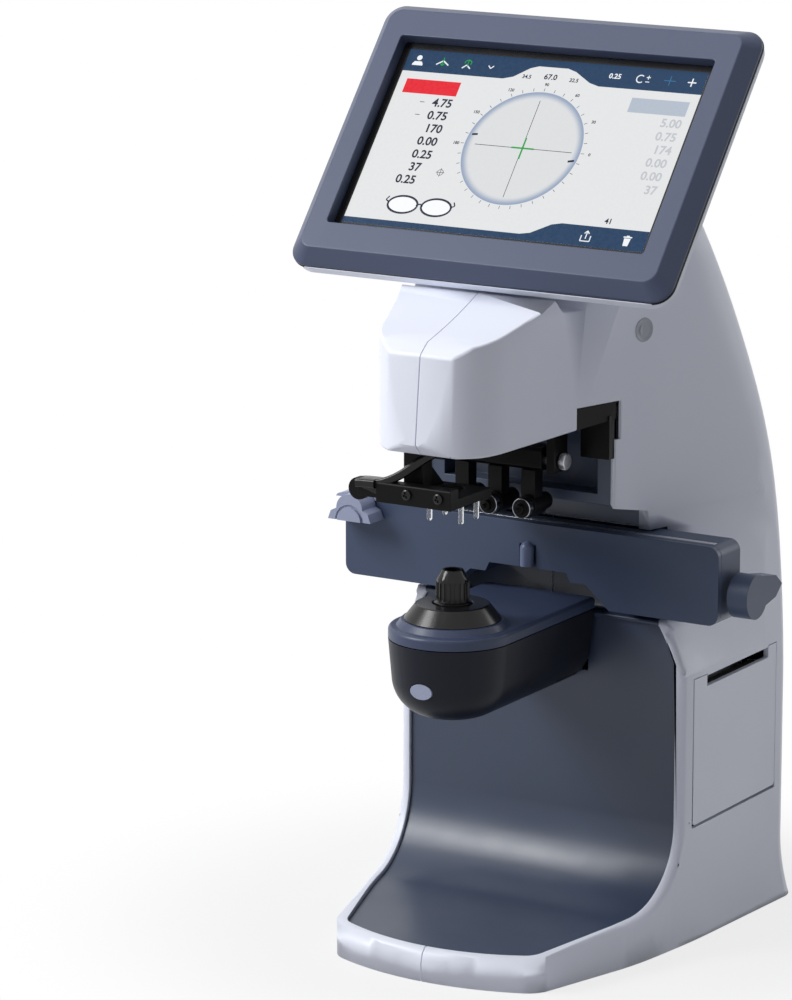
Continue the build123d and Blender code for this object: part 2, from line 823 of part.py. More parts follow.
# Marker: three pens on a bar that swings on its axle
with BuildPart() as marker_bracket:
    for side in (-1, 1):
        plate = side * bracket_x
        block((plate - 2, plate + 2), (axle_setback - 6, axle_setback + 6), (222, 257.8))
    block((-bracket_x - 2, bracket_x + 2), (axle_setback - 6, axle_setback + 6), (249, 251))
    cross_bar((-40, 40), axle_setback, axle_height, axle_radius + run_gap, Mode.SUBTRACT)
marker_bracket.part.label = "marker_bracket"
export_step(marker_bracket.part, "parts/marker_bracket.step")

with BuildPart() as marker_axle:
    cross_bar((-bracket_x - 4.5, bracket_x + 4.5), axle_setback, axle_height, axle_radius)
    for side in (-1, 1):
        knob_x = side * (bracket_x + 4)
        cross_bar((knob_x - 1.5, knob_x + 1.5), axle_setback, axle_height, 3.6)
marker_axle.part.label = "marker_axle"
export_step(marker_axle.part, "parts/marker_axle.step")

with BuildPart() as marker_crossbar:
    block((-24, 24), (axle_setback - 6, axle_setback + 6), (axle_height - 4.5, axle_height + 6))
    chamfer(marker_crossbar.edges().filter_by(Axis.X), 1.5)
    cross_bar((-40, 40), axle_setback, axle_height, axle_radius, Mode.SUBTRACT)
marker_crossbar.part.label = "marker_crossbar"
export_step(marker_crossbar.part, "parts/marker_crossbar.step")

with BuildPart() as marker_posts:
    for x in (-pen_spread, 0, pen_spread):
        block((x - 3.5, x + 3.5), (axle_setback - 5.5, axle_setback + 1.5), (pen_height, axle_height - 4.5))
        deep_bar(x, (axle_setback - 7.5, axle_setback + 3.5), pen_height, 5.2)
        deep_bar(x, (50, 90), pen_height, pen_radius, Mode.SUBTRACT)
marker_posts.part.label = "marker_posts"
export_step(marker_posts.part, "parts/marker_posts.step")

with BuildPart() as marker_pens:
    for x in (-pen_spread, 0, pen_spread):
        deep_bar(x, (axle_setback - 12, axle_setback + 10), pen_height, pen_radius)
        deep_bar(x, (axle_setback - 14.5, axle_setback - 12), pen_height, 2.4)
        deep_bar(x, (axle_setback - 16.5, axle_setback - 14.5), pen_height, 1)
marker_pens.part.label = "marker_pens"
export_step(marker_pens.part, "parts/marker_pens.step")

with BuildPart() as marker_bands:
    for x in (-pen_spread, 0, pen_spread):
        deep_bar(x, (axle_setback - 11.5, axle_setback - 7.8), pen_height, pen_radius + 0.6)
        deep_bar(x, (50, 90), pen_height, pen_radius, Mode.SUBTRACT)
marker_bands.part.label = "marker_bands"
export_step(marker_bands.part, "parts/marker_bands.step")

# Display, drawn in the plane of its picture
with BuildPart() as display_bezel:
    with BuildSketch(display_plane.offset(bezel_front)):
        with Locations((0, bezel_middle)):
            RectangleRounded(180, 126.4, 6)
    with BuildSketch(display_plane.offset(-0.5)):
        with Locations((0, bezel_middle)):
            RectangleRounded(bezel_width, bezel_height, 9)
    loft()
    with BuildSketch(display_plane.offset(-0.5)):
        with Locations((0, bezel_middle)):
            RectangleRounded(bezel_width, bezel_height, 9)
    extrude(amount=-1.3)
    with BuildSketch(display_plane.offset(bezel_front + 1)):
        with Locations((0, bezel_middle)):
            RectangleRounded(glass_width + 0.6, glass_height + 0.6, 1.5)
    extrude(amount=-bezel_front - 4, mode=Mode.SUBTRACT)
display_bezel.part.label = "display_bezel"
export_step(display_bezel.part, "parts/display_bezel.step")

with BuildPart() as touch_panel:
    with BuildSketch(display_plane.offset(0.4)):
        with Locations((0, bezel_middle)):
            RectangleRounded(glass_width, glass_height, 1.2)
    extrude(amount=-1.6)
touch_panel.part.label = "touch_panel"
export_step(touch_panel.part, "parts/touch_panel.step")

with BuildPart() as display_module:
    with BuildSketch(display_plane.offset(-1.3)):
        with Locations((0, bezel_middle)):
            Rectangle(glass_width - 1, glass_height - 1)
    extrude(amount=-5)
    with BuildSketch(display_plane.offset(-6.3)):
        Rectangle(110, 60)
    extrude(amount=-3)
display_module.part.label = "display_module"
export_step(display_module.part, "parts/display_module.step")


def display_back(inset):
    """The rear of the display from its rim to its flat back, or its hollow."""
    with BuildPart() as back:
        with BuildSketch(display_plane.offset(-1.9)):
            with Locations((0, bezel_middle)):
                RectangleRounded(bezel_width - 1 - 2 * inset, bezel_height + 1 - 2 * inset, 11 - inset)
        extrude(amount=-4.1)
        with BuildSketch(display_plane.offset(-6)):
            with Locations((0, bezel_middle)):
                RectangleRounded(bezel_width - 1 - 2 * inset, bezel_height + 1 - 2 * inset, 11 - inset)
        with BuildSketch(display_plane.offset(-20 + inset)):
            RectangleRounded(160 - 2 * inset, 104 - 2 * inset, 14 - inset)
        loft()
    return back.part


with BuildPart() as display_housing:
    add(display_back(0))
    add(display_back(2.2), mode=Mode.SUBTRACT)
    # Two lugs that reach down to the hinge
    for x in (-24, 24):
        with BuildSketch(Plane.YZ.offset(x - 4)):
            with BuildLine():
                Polyline(
                    display_point(hinge_up - 5.5, -19),
                    display_point(hinge_up + 5.5, -19),
                    display_point(hinge_up + 5.5, hinge_out),
                    display_point(hinge_up - 5.5, hinge_out),
                    close=True,
                )
            make_face()
            with Locations(display_point(hinge_up, hinge_out)):
                Circle(5.5)
                Circle(3, mode=Mode.SUBTRACT)
        extrude(amount=8)
display_housing.part.label = "display_housing"
export_step(display_housing.part, "parts/display_housing.step")

hinge_y, hinge_z = display_point(hinge_up, hinge_out)

with BuildPart() as display_hinge_shaft:
    cross_bar((-36, 36), hinge_y + base_depth / 2, hinge_z, 3)
display_hinge_shaft.part.label = "display_hinge_shaft"
export_step(display_hinge_shaft.part, "parts/display_hinge_shaft.step")

with BuildPart() as display_bracket:
    with BuildSketch(display_plane.offset(hinge_out - 9)):
        with Locations((0, hinge_up - 3)):
            Rectangle(88, 18)
    extrude(amount=2)
    for x, out in ((-32, 5), (32, 5), (-41.5, 9), (41.5, 9)):
        with BuildSketch(display_plane.offset(hinge_out - 7)):
            with Locations((x, hinge_up - 2)):
                Rectangle(4, 14)
        extrude(amount=13 if out == 5 else 9)
    cross_bar((-37, 37), hinge_y + base_depth / 2, hinge_z, 3 + run_gap, Mode.SUBTRACT)
display_bracket.part.label = "display_bracket"
export_step(display_bracket.part, "parts/display_bracket.step")

# Printer in the right side of the column
with BuildPart() as printer_frame:
    block((18, 65), (119.4, 190), (60, 117))
    block((20, 66), (121.4, 188), (62, 118), Mode.SUBTRACT)
    block((55, 70), (119.4, 121.4), (62, 76))
    block((55, 70), (188, 190), (62, 76))
    deep_bar(paper_x, (118, 192), paper_height, 4.9, Mode.SUBTRACT)
printer_frame.part.label = "printer_frame"
export_step(printer_frame.part, "parts/printer_frame.step")

with BuildPart() as printer_cover:
    add(printer_region(0))
    block((half_width - 2.6, half_width - 0.1), (100, 200), (40, 140), Mode.INTERSECT)
    for low, high in ((122, 124.3), (184.6, 186.9)):
        block((platen_x - 3, half_width - 2), (low, high), (platen_height - 3, platen_height + 4))
    deep_bar(platen_x, (110, 200), platen_height, 1.65, Mode.SUBTRACT)
    deep_bar(cover_hinge_x, (cover_front - 1, cover_front + 6), cover_hinge_height, 0.8, Mode.SUBTRACT)
    deep_bar(cover_hinge_x, (cover_rear - 6, cover_rear + 1), cover_hinge_height, 0.8, Mode.SUBTRACT)
printer_cover.part.label = "printer_cover"
export_step(printer_cover.part, "parts/printer_cover.step")

with BuildPart() as printer_hinge_pins:
    deep_bar(cover_hinge_x, (cover_front - 2.5, cover_front + 6), cover_hinge_height, 0.8)
    deep_bar(cover_hinge_x, (cover_rear - 6, cover_rear + 2.5), cover_hinge_height, 0.8)
printer_hinge_pins.part.label = "printer_hinge_pins"
export_step(printer_hinge_pins.part, "parts/printer_hinge_pins.step")

with BuildPart() as platen_roller:
    deep_bar(platen_x, (124.8, 184.1), platen_height, 4.5)
    deep_bar(platen_x, (122, 186.9), platen_height, 1.6)
platen_roller.part.label = "platen_roller"
export_step(platen_roller.part, "parts/platen_roller.step")

with BuildPart() as thermal_head:
    block((58.5, 62), (126, 183), (104, 116))
    block((56, 59), (121.4, 188), (100, 106))
thermal_head.part.label = "thermal_head"
export_step(thermal_head.part, "parts/thermal_head.step")

with BuildPart() as paper_spindle:
    deep_bar(paper_x, (119.4, 190), paper_height, 4.9)
paper_spindle.part.label = "paper_spindle"
export_step(paper_spindle.part, "parts/paper_spindle.step")

with BuildPart() as paper_roll:
    deep_bar(paper_x, (126, 183), paper_height, paper_radius)
    deep_bar(paper_x, (120, 190), paper_height, 4.95, Mode.SUBTRACT)
paper_roll.part.label = "paper_roll"
export_step(paper_roll.part, "parts/paper_roll.step")

# Electronics
with BuildPart() as power_supply:
    block((-48, -12), (128, 186), (9, 44))
    for x in (-44, -16):
        for s in (134, 180):
            upright(x, s, (7, 9), 2.5)
power_supply.part.label = "power_supply"
export_step(power_supply.part, "parts/power_supply.step")

with BuildPart() as main_board:
    block((-46, 12), (188, 189.6), (70, 150))
    block((-36, -16), (185, 188), (96, 116))
    block((-10, 6), (184, 188), (80, 90))
    for x in (-42, 8):
        for z in (74, 146):
            deep_bar(x, (189.6, 194), z, 2)
main_board.part.label = "main_board"
export_step(main_board.part, "parts/main_board.step")

# Rear panel with its inlet, switch and data sockets
with BuildPart() as rear_panel:
    block((-rear_half, rear_half), (rear_face - 2.2, rear_face), (rear_low, rear_high))
    block((-36.3, -7.7), (rear_face - 10.8, rear_face + 4.2), (27.7, 52.3), Mode.SUBTRACT)
    block((10.7, 33.3), (rear_face - 10.8, rear_face + 4.2), (34.7, 53.3), Mode.SUBTRACT)
    for x in (-38.5, 38.5):
        for z in (18, 58):
            deep_bar(x, (rear_face - 10.8, rear_face + 4.2), z, 1.5, Mode.SUBTRACT)
rear_panel.part.label = "rear_panel"
export_step(rear_panel.part, "parts/rear_panel.step")

with BuildPart() as panel_screws:
    for x in (-38.5, 38.5):
        for z in (18, 58):
            deep_bar(x, (rear_face - 5.8, rear_face + 0.2), z, 1.5)
            deep_bar(x, (rear_face, rear_face + 1.5), z, 2.8)
            with Locations((x, at(rear_face + 1.5), z)):
                Box(3.6, 1.4, 0.7, mode=Mode.SUBTRACT)
                Box(0.7, 1.4, 3.6, mode=Mode.SUBTRACT)
panel_screws.part.label = "panel_screws"
export_step(panel_screws.part, "parts/panel_screws.step")

with BuildPart() as power_inlet:
    block((-36, -8), (rear_face - 16.8, rear_face + 0.2), (28, 52))
    block((-38, -6), (rear_face + 0.1, rear_face + 1.8), (26, 54))
    with BuildSketch(Plane.XZ.offset(-at(rear_face + 2.2))):
        with Locations((-22, 40)):
            Rectangle(24.4, 16.6)
        chamfer(vertices().group_by(Axis.Y)[-1], 4)
    extrude(amount=16, mode=Mode.SUBTRACT)
    for x, z in ((-29, 37.5), (-15, 37.5), (-22, 41.5)):
        block((x - 1, x + 1), (rear_face - 15.8, rear_face - 1.8), (z - 2, z + 2))
power_inlet.part.label = "power_inlet"
export_step(power_inlet.part, "parts/power_inlet.step")

with BuildPart() as switch_body:
    block((11, 33), (rear_face - 11.8, rear_face + 0.2), (35, 53))
    block((9, 35), (rear_face + 0.1, rear_face + 1.6), (33, 55))
    block((13, 31), (rear_face - 8.8, rear_face + 3.2), (38, 50), Mode.SUBTRACT)
    upright(22, rear_face - 2.8, (36, 52), 1.05, Mode.SUBTRACT)
switch_body.part.label = "switch_body"
export_step(switch_body.part, "parts/switch_body.step")

with BuildPart() as power_switch:
    with BuildSketch(Plane.XY.offset(38.5)):
        with BuildLine():
            Polyline(
                (13.8, at(rear_face + 2.6)),
                (13.8, at(rear_face - 5.3)),
                (30.2, at(rear_face - 5.3)),
                (30.2, at(rear_face + 2.6)),
                (22, at(rear_face + 1)),
                close=True,
            )
        make_face()
    extrude(amount=11)
    upright(22, rear_face - 2.8, (36.2, 51.8), 1)
power_switch.part.label = "power_switch"
export_step(power_switch.part, "parts/power_switch.step")

with BuildPart() as side_plugs:
    for side in (-1, 1):
        cross_bar((side * 52.4 - 1.4, side * 52.4 + 1.4), plug_setback, plug_height, 2.9)
side_plugs.part.label = "side_plugs"
export_step(side_plugs.part, "parts/side_plugs.step")
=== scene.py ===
"""The looks of a desk auto lensmeter: housings, dark panels, arm, lens table, mechanism and touch display."""
import json
import math
import bmesh
import bpy
from mathutils import Matrix, Vector
from mathutils.bvhtree import BVHTree

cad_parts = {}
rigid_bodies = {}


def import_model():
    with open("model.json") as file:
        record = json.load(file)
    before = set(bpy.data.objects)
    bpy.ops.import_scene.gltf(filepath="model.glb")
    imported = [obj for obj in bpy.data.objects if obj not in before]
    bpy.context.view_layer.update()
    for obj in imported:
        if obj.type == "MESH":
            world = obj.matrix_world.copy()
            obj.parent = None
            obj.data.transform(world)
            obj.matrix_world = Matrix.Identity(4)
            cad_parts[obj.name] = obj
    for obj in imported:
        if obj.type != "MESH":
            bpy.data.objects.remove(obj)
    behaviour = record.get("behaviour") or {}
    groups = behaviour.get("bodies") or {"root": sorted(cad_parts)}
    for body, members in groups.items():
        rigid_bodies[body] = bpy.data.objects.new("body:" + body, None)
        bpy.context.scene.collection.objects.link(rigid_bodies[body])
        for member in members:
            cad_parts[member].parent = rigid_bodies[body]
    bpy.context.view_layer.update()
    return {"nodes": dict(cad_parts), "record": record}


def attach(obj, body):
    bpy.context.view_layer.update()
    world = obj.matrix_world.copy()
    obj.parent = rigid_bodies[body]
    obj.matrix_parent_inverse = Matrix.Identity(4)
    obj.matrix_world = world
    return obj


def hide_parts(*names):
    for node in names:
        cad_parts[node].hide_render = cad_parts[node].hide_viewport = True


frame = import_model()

nodes = frame["nodes"]

# Sizes in metres, in the frame of the part; a setback is a distance behind the front of the base
MM = 0.001
HALF_DEPTH = 0.108
TILT = math.radians(39.9)
PICTURE_MIDDLE = Vector((0, 0.0883 - HALF_DEPTH, 0.3631))
PICTURE_RIGHT = Vector((1, 0, 0))
PICTURE_UP = Vector((0, math.sin(TILT), math.cos(TILT)))
PICTURE_OUT = Vector((0, -math.cos(TILT), math.sin(TILT)))
GLASS_FRONT = 0.4
AXIS_SETBACK = 0.0265
NOSE_RADIUS = 0.0071


def at(setback):
    return setback - HALF_DEPTH


# Materials


def linear(red, green, blue):
    """Screen values from 0 to 255 as linear colour."""
    values = []
    for value in (red, green, blue):
        value /= 255
        values.append(value / 12.92 if value <= 0.04045 else ((value + 0.055) / 1.055) ** 2.4)
    return (*values, 1.0)


def shader_tree(name):
    material = bpy.data.materials.new(name)
    material.use_nodes = True
    tree = material.node_tree
    shader = next(node for node in tree.nodes if node.type == "BSDF_PRINCIPLED")
    return material, tree, shader


def object_noise(tree, scale, detail=3.0, stretch=None):
    """Noise in the object's own coordinates, in features per metre."""
    place = tree.nodes.new("ShaderNodeTexCoord")
    noise = tree.nodes.new("ShaderNodeTexNoise")
    noise.inputs["Scale"].default_value = scale
    noise.inputs["Detail"].default_value = detail
    if stretch:
        drawn_out = tree.nodes.new("ShaderNodeMapping")
        drawn_out.inputs["Scale"].default_value = stretch
        tree.links.new(place.outputs["Object"], drawn_out.inputs["Vector"])
        tree.links.new(drawn_out.outputs["Vector"], noise.inputs["Vector"])
    else:
        tree.links.new(place.outputs["Object"], noise.inputs["Vector"])
    return noise


def spread(tree, source, low, high, target):
    """Maps a texture's middle range onto low to high and plugs it in."""
    span = tree.nodes.new("ShaderNodeMapRange")
    span.inputs["From Min"].default_value = 0.3
    span.inputs["From Max"].default_value = 0.7
    span.inputs["To Min"].default_value = low
    span.inputs["To Max"].default_value = high
    tree.links.new(source, span.inputs["Value"])
    tree.links.new(span.outputs["Result"], target)


def moulded(name, colour, roughness, grain=1600, relief=0.02, coat=0.0, shift=0.06, shine=0.5):
    """Moulded plastic or a painted skin: fine moulding grain, slight gloss and tone variation."""
    material, tree, shader = shader_tree(name)
    shader.inputs["Specular IOR Level"].default_value = shine
    shader.inputs["Coat Weight"].default_value = coat
    shader.inputs["Coat Roughness"].default_value = 0.18
    grain_noise = object_noise(tree, grain, 2.0)
    bump = tree.nodes.new("ShaderNodeBump")
    bump.inputs["Strength"].default_value = relief
    bump.inputs["Distance"].default_value = 0.0004
    tree.links.new(grain_noise.outputs["Fac"], bump.inputs["Height"])
    tree.links.new(bump.outputs["Normal"], shader.inputs["Normal"])
    wear = object_noise(tree, 28.0, 4.0)
    spread(tree, wear.outputs["Fac"], roughness - 0.05, roughness + 0.06, shader.inputs["Roughness"])
    tone = tree.nodes.new("ShaderNodeMix")
    tone.data_type = "RGBA"
    tone.inputs["A"].default_value = colour
    tone.inputs["B"].default_value = (*[channel * (1 - shift) for channel in colour[:3]], 1)
    tint = object_noise(tree, 9.0, 2.0)
    spread(tree, tint.outputs["Fac"], 0.0, 1.0, tone.inputs["Factor"])
    tree.links.new(tone.outputs["Result"], shader.inputs["Base Color"])
    return material


def machined(name, colour, roughness, stretch):
    """Machined or rolled metal with fine marks along one direction."""
    material, tree, shader = shader_tree(name)
    shader.inputs["Metallic"].default_value = 1.0
    shader.inputs["Base Color"].default_value = colour
    marks = object_noise(tree, 900.0, 3.0, stretch)
    spread(tree, marks.outputs["Fac"], roughness - 0.08, roughness + 0.12, shader.inputs["Roughness"])
    bump = tree.nodes.new("ShaderNodeBump")
    bump.inputs["Strength"].default_value = 0.05
    bump.inputs["Distance"].default_value = 0.0002
    tree.links.new(marks.outputs["Fac"], bump.inputs["Height"])
    tree.links.new(bump.outputs["Normal"], shader.inputs["Normal"])
    return material


def clear(name, colour, roughness=0.04, ior=1.49):
    """Clear moulded plastic or glass."""
    material, tree, shader = shader_tree(name)
    shader.inputs["Base Color"].default_value = colour
    shader.inputs["Transmission Weight"].default_value = 0.92
    shader.inputs["IOR"].default_value = ior
    haze = object_noise(tree, 120.0, 2.0)
    spread(tree, haze.outputs["Fac"], roughness, roughness + 0.08, shader.inputs["Roughness"])
    return material


def lit(name, colour, edge_colour=None, centre=None, radius=0.0, edge=0.0):
    """One tone of the display's picture; with an edge colour it darkens towards a round rim."""
    material, tree, shader = shader_tree(name)
    shader.inputs["Base Color"].default_value = (*[channel * 0.04 for channel in colour[:3]], 1)
    shader.inputs["Specular IOR Level"].default_value = 0.15
    shader.inputs["Emission Color"].default_value = colour
    shader.inputs["Emission Strength"].default_value = 0.96
    haze = object_noise(tree, 600.0, 1.0)
    spread(tree, haze.outputs["Fac"], 0.24, 0.32, shader.inputs["Roughness"])
    if edge_colour:
        place = tree.nodes.new("ShaderNodeTexCoord")
        reach = tree.nodes.new("ShaderNodeVectorMath")
        reach.operation = "DISTANCE"
        reach.inputs[1].default_value = centre
        tree.links.new(place.outputs["Object"], reach.inputs[0])
        fade = tree.nodes.new("ShaderNodeMapRange")
        fade.interpolation_type = "SMOOTHSTEP"
        fade.inputs["From Min"].default_value = radius - edge
        fade.inputs["From Max"].default_value = radius
        tree.links.new(reach.outputs["Value"], fade.inputs["Value"])
        tone = tree.nodes.new("ShaderNodeMix")
        tone.data_type = "RGBA"
        tone.inputs["A"].default_value = colour
        tone.inputs["B"].default_value = edge_colour
        tree.links.new(fade.outputs["Result"], tone.inputs["Factor"])
        tree.links.new(tone.outputs["Result"], shader.inputs["Emission Color"])
    return material


def on_picture(across, up_by, out):
    """A point on the display's picture, from millimetres across, up and out."""
    return PICTURE_MIDDLE + (PICTURE_RIGHT * across + PICTURE_UP * up_by + PICTURE_OUT * out) * MM


DIAL = (-0.8, -2.8)
DIAL_RADIUS = 29.4

white_skin = moulded("white_skin", linear(229, 233, 246), 0.38, grain=1500, relief=0.015, shift=0.02, shine=0.4)
slate_panel = moulded("slate_panel", linear(56, 67, 89), 0.33, grain=2600, relief=0.05, shift=0.05)
slate_bezel = moulded("slate_bezel", linear(68, 77, 102), 0.4, grain=2400, relief=0.05, shift=0.05, shine=0.35)
slate_table = moulded("slate_table", linear(66, 78, 103), 0.38, grain=2400, relief=0.05, shift=0.05, shine=0.3)
slate_index = moulded("slate_index", linear(96, 108, 140), 0.34, grain=2400, relief=0.04, shift=0.05, shine=0.4)
slate_cap = moulded("slate_cap", linear(60, 70, 96), 0.34, grain=2400, relief=0.04, shift=0.05, shine=0.3)
navy_shell = moulded("navy_shell", linear(18, 22, 34), 0.36, grain=2000, relief=0.03, shine=0.18)
black_body = moulded("black_body", linear(8, 8, 10), 0.42, grain=2200, relief=0.05, shift=0.1, shine=0.12)
black_gloss = moulded("black_gloss", linear(13, 13, 16), 0.24, grain=1800, shift=0.1, shine=0.3)
lavender = moulded("lavender", linear(152, 160, 185), 0.38, grain=2200, relief=0.04, shift=0.05, shine=0.4)
plug_grey = moulded("plug_grey", linear(172, 175, 186), 0.4, grain=2000, relief=0.04, shift=0.05, shine=0.4)
dark_line = moulded("dark_line", linear(16, 17, 22), 0.5, grain=1800, shift=0.1, shine=0.15)
soft_rubber = moulded("soft_rubber", linear(22, 22, 23), 0.72, grain=1400, relief=0.15, shift=0.12)
board = moulded("board", linear(34, 92, 58), 0.4, grain=900, relief=0.06, coat=0.1, shift=0.1)
paper_white = moulded("paper_white", linear(236, 235, 230), 0.8, grain=1800, relief=0.06, shift=0.03)
steel = machined("steel", linear(196, 198, 203), 0.28, (1, 12, 12))
bright = machined("bright", linear(150, 151, 158), 0.16, (8, 1, 8))
sheet = machined("sheet", linear(190, 193, 198), 0.4, (1, 10, 1))
bronze = machined("bronze", linear(180, 140, 84), 0.34, (1, 10, 1))
clear_pin = clear("clear_pin", (0.95, 0.97, 1, 1))
optic = clear("optic", (0.92, 0.96, 1, 1), 0.01, 1.52)

picture_pale = lit("picture_pale", linear(226, 227, 228))
picture_navy = lit("picture_navy", linear(16, 56, 92))
picture_white = lit("picture_white", linear(240, 244, 248))
picture_dim = lit("picture_dim", linear(48, 110, 152))
picture_red = lit("picture_red", linear(228, 24, 44))
picture_grey = lit("picture_grey", linear(178, 188, 202))
picture_ink = lit("picture_ink", linear(22, 30, 56))
picture_faint = lit("picture_faint", linear(192, 195, 201))
picture_green = lit("picture_green", linear(24, 158, 62))
picture_lens = lit("picture_lens", linear(246, 248, 251))
picture_dial = lit(
    "picture_dial",
    linear(218, 220, 222),
    linear(140, 158, 186),
    on_picture(*DIAL, GLASS_FRONT),
    DIAL_RADIUS * MM,
    4 * MM,
)

node_finish = {
    white_skin: "shell_left shell_right display_housing printer_cover",
    slate_panel: "front_panel recess_panel",
    slate_bezel: "display_bezel",
    slate_table: "table_fascia lens_table table_lever",
    slate_cap: "arm_cap",
    navy_shell: "arm_lower_shell",
    black_body: "neck_plates base_plate lens_holder_arm lens_holder_block thumb_lever head_underplate marker_bracket "
    "marker_crossbar marker_posts marker_pens printer_frame paper_spindle rear_panel power_inlet switch_body "
    "power_switch source_tube holder_screws",
    black_gloss: "nosepiece nosepiece_ring touch_panel",
    lavender: "read_button pd_slider",
    plug_grey: "side_plugs",
    soft_rubber: "rubber_feet platen_roller",
    board: "sensor_board main_board",
    paper_white: "paper_roll",
    steel: "pd_rail table_guide_rods lever_shaft marker_axle display_hinge_shaft printer_hinge_pins panel_screws",
    bright: "marker_bands",
    sheet: "chassis arm_bracket holder_guide display_module display_bracket thermal_head power_supply",
    bronze: "table_guide_bushes",
    clear_pin: "holder_pins",
    optic: "collimator_lens arm_objective",
}
finish_of = {}
for finish, names in node_finish.items():
    for name in names.split():
        finish_of[name] = finish
body_of_node = {}
for body, members in frame["record"]["behaviour"]["bodies"].items():
    for member in members:
        body_of_node[member] = body
slot_of_node = {entry["node"]: entry["material_slot"] for entry in frame["record"]["subparts"]}

for name, node in nodes.items():
    node.data.materials.clear()
    node.data.materials.append(finish_of[name])


# Making pieces


def piece(name, mesh, finish, body, stands_for=(), slot=None):
    """A finished object: its finish, the body it rides on and the nodes it stands for."""
    thing = bpy.data.objects.new(name, mesh)
    bpy.context.scene.collection.objects.link(thing)
    if finish:
        mesh.materials.clear()
        mesh.materials.append(finish)
    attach(thing, body)
    if stands_for:
        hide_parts(*stands_for)
        slot = slot or slot_of_node[stands_for[0]]
    return thing


ROUNDED_FROM = math.radians(32)
SHARP_FROM = math.radians(40)


def merged(mesh):
    """A bmesh of a CAD node's mesh with its flat faces whole again."""
    work = bmesh.new()
    work.from_mesh(mesh)
    bmesh.ops.remove_doubles(work, verts=work.verts, dist=1e-6)
    bmesh.ops.dissolve_limit(work, angle_limit=math.radians(1.0), verts=work.verts, edges=work.edges)
    return work


def shaded(thing):
    """Smooth shading between sharp edges, led by the large faces."""
    mesh = thing.data
    mesh.polygons.foreach_set("use_smooth", [True] * len(mesh.polygons))
    mesh.set_sharp_from_angle(angle=SHARP_FROM)
    smooth = thing.modifiers.new("shading", "WEIGHTED_NORMAL")
    smooth.keep_sharp = False


def softened(name, width):
    """A copy of a CAD node with its edges rounded."""
    mesh = nodes[name].data.copy()
    work = merged(mesh)
    work.to_mesh(mesh)
    work.free()
    thing = piece(f"{name}_soft", mesh, finish_of[name], body_of_node[name], (name,))
    bevel = thing.modifiers.new("edges", "BEVEL")
    bevel.width = width
    bevel.segments = 3
    bevel.limit_method = "ANGLE"
    bevel.angle_limit = ROUNDED_FROM
    bevel.use_clamp_overlap = True
    shaded(thing)


# How wide the edges of each node are rounded, in millimetres
edge_widths = {
    "front_panel": 0.5,
    "recess_panel": 0.6,
    "display_bezel": 0.9,
    "display_housing": 1.2,
    "table_fascia": 1.2,
    "lens_table": 1.2,
    "arm_cap": 0.8,
    "arm_lower_shell": 0.8,
    "pd_slider": 0.8,
    "table_lever": 1.8,
    "lens_holder_arm": 0.6,
    "lens_holder_block": 0.7,
    "thumb_lever": 0.7,
    "marker_crossbar": 0.5,
    "marker_posts": 0.5,
    "marker_pens": 0.4,
    "marker_bands": 0.3,
    "marker_bracket": 0.5,
    "marker_axle": 0.3,
    "read_button": 0.6,
    "printer_cover": 0.35,
    "nosepiece": 0.3,
    "nosepiece_ring": 0.6,
    "neck_plates": 0.6,
    "power_switch": 0.6,
    "power_inlet": 0.5,
    "switch_body": 0.5,
    "rear_panel": 0.3,
    "rubber_feet": 0.6,
    "side_plugs": 0.5,
    "pd_rail": 0.2,
}
for name, width in edge_widths.items():
    softened(name, width * MM)


# The two halves of the housing

RIM_ROUND = 3.0
INSIDE_ROUND = 0.6
SEAM_ROUND = 0.25
SEAM_REACH = 0.0006
ANYWHERE = (-1, 500)

# Smaller rounds, in millimetres, each with its region across, behind the front of the base and up
local_rounds = [
    # Openings of the printer, the head's window and the rear panel
    (0.25, (60, 80), (106, 198), (50, 128)),
    (0.3, (0, 19), (4, 36), (236, 246)),
    (0.3, (0, 50), (195, 215), (10, 70)),
    # Neck, sloping top, ledge over the table and top of the neck's opening
    (0.0, (36, 80), (60, 118), (146, 256)),
    (0.0, (0, 80), (40, 240), (287, 400)),
    (0.0, (0, 80), (40, 240), (196, 202)),
    (0.0, (0, 36), (78, 92), (238, 256)),
    # Head
    (1.2, ANYWHERE, (-20, 500), (230, 500)),
    # Bay behind the table, standing edge and front rim of the base
    (0.0, (0, 80), (103, 116), (146, 193)),
    (0.0, ANYWHERE, (-20, 500), (-1, 4)),
    (0.0, (0, 80), (-10, 30), (0, 30)),
]


def within(point, x, setback, z):
    """Whether a point lies between these millimetres across, back and up."""
    values = (abs(point.x) / MM, (point.y + HALF_DEPTH) / MM, point.z / MM)
    return all(low <= value <= high for value, (low, high) in zip(values, (x, setback, z)))


def rounding(edge):
    """How far an edge of the housing is rounded, in millimetres."""
    middle = (edge.verts[0].co + edge.verts[1].co) / 2
    side = 1 if middle.x > 0 else -1
    if abs(middle.x) < SEAM_REACH:
        return SEAM_ROUND
    for width, *region in local_rounds:
        if within(middle, *region):
            return width
    if any(face.normal.x * side < -0.3 for face in edge.link_faces):
        return INSIDE_ROUND
    return RIM_ROUND


def cut_faces(work, place, way, x, setback, z):
    """Cuts the faces whose middle lies in a region along a plane."""
    faces = [face for face in work.faces if within(face.calc_center_median(), x, setback, z)]
    edges = {edge for face in faces for edge in face.edges}
    vertices = {vertex for face in faces for vertex in face.verts}
    bmesh.ops.bisect_plane(work, geom=faces + list(edges) + list(vertices), plane_co=place, plane_no=way, dist=1e-6)


# The foot of the column spreads sideways: by how much, up to where, from where and over which run
FLARE_REACH = 0.0048
FLARE_HEIGHT = 0.029
FLARE_START = 0.1
FLARE_RUN = 0.09
FLARE_INSIDE = 0.03

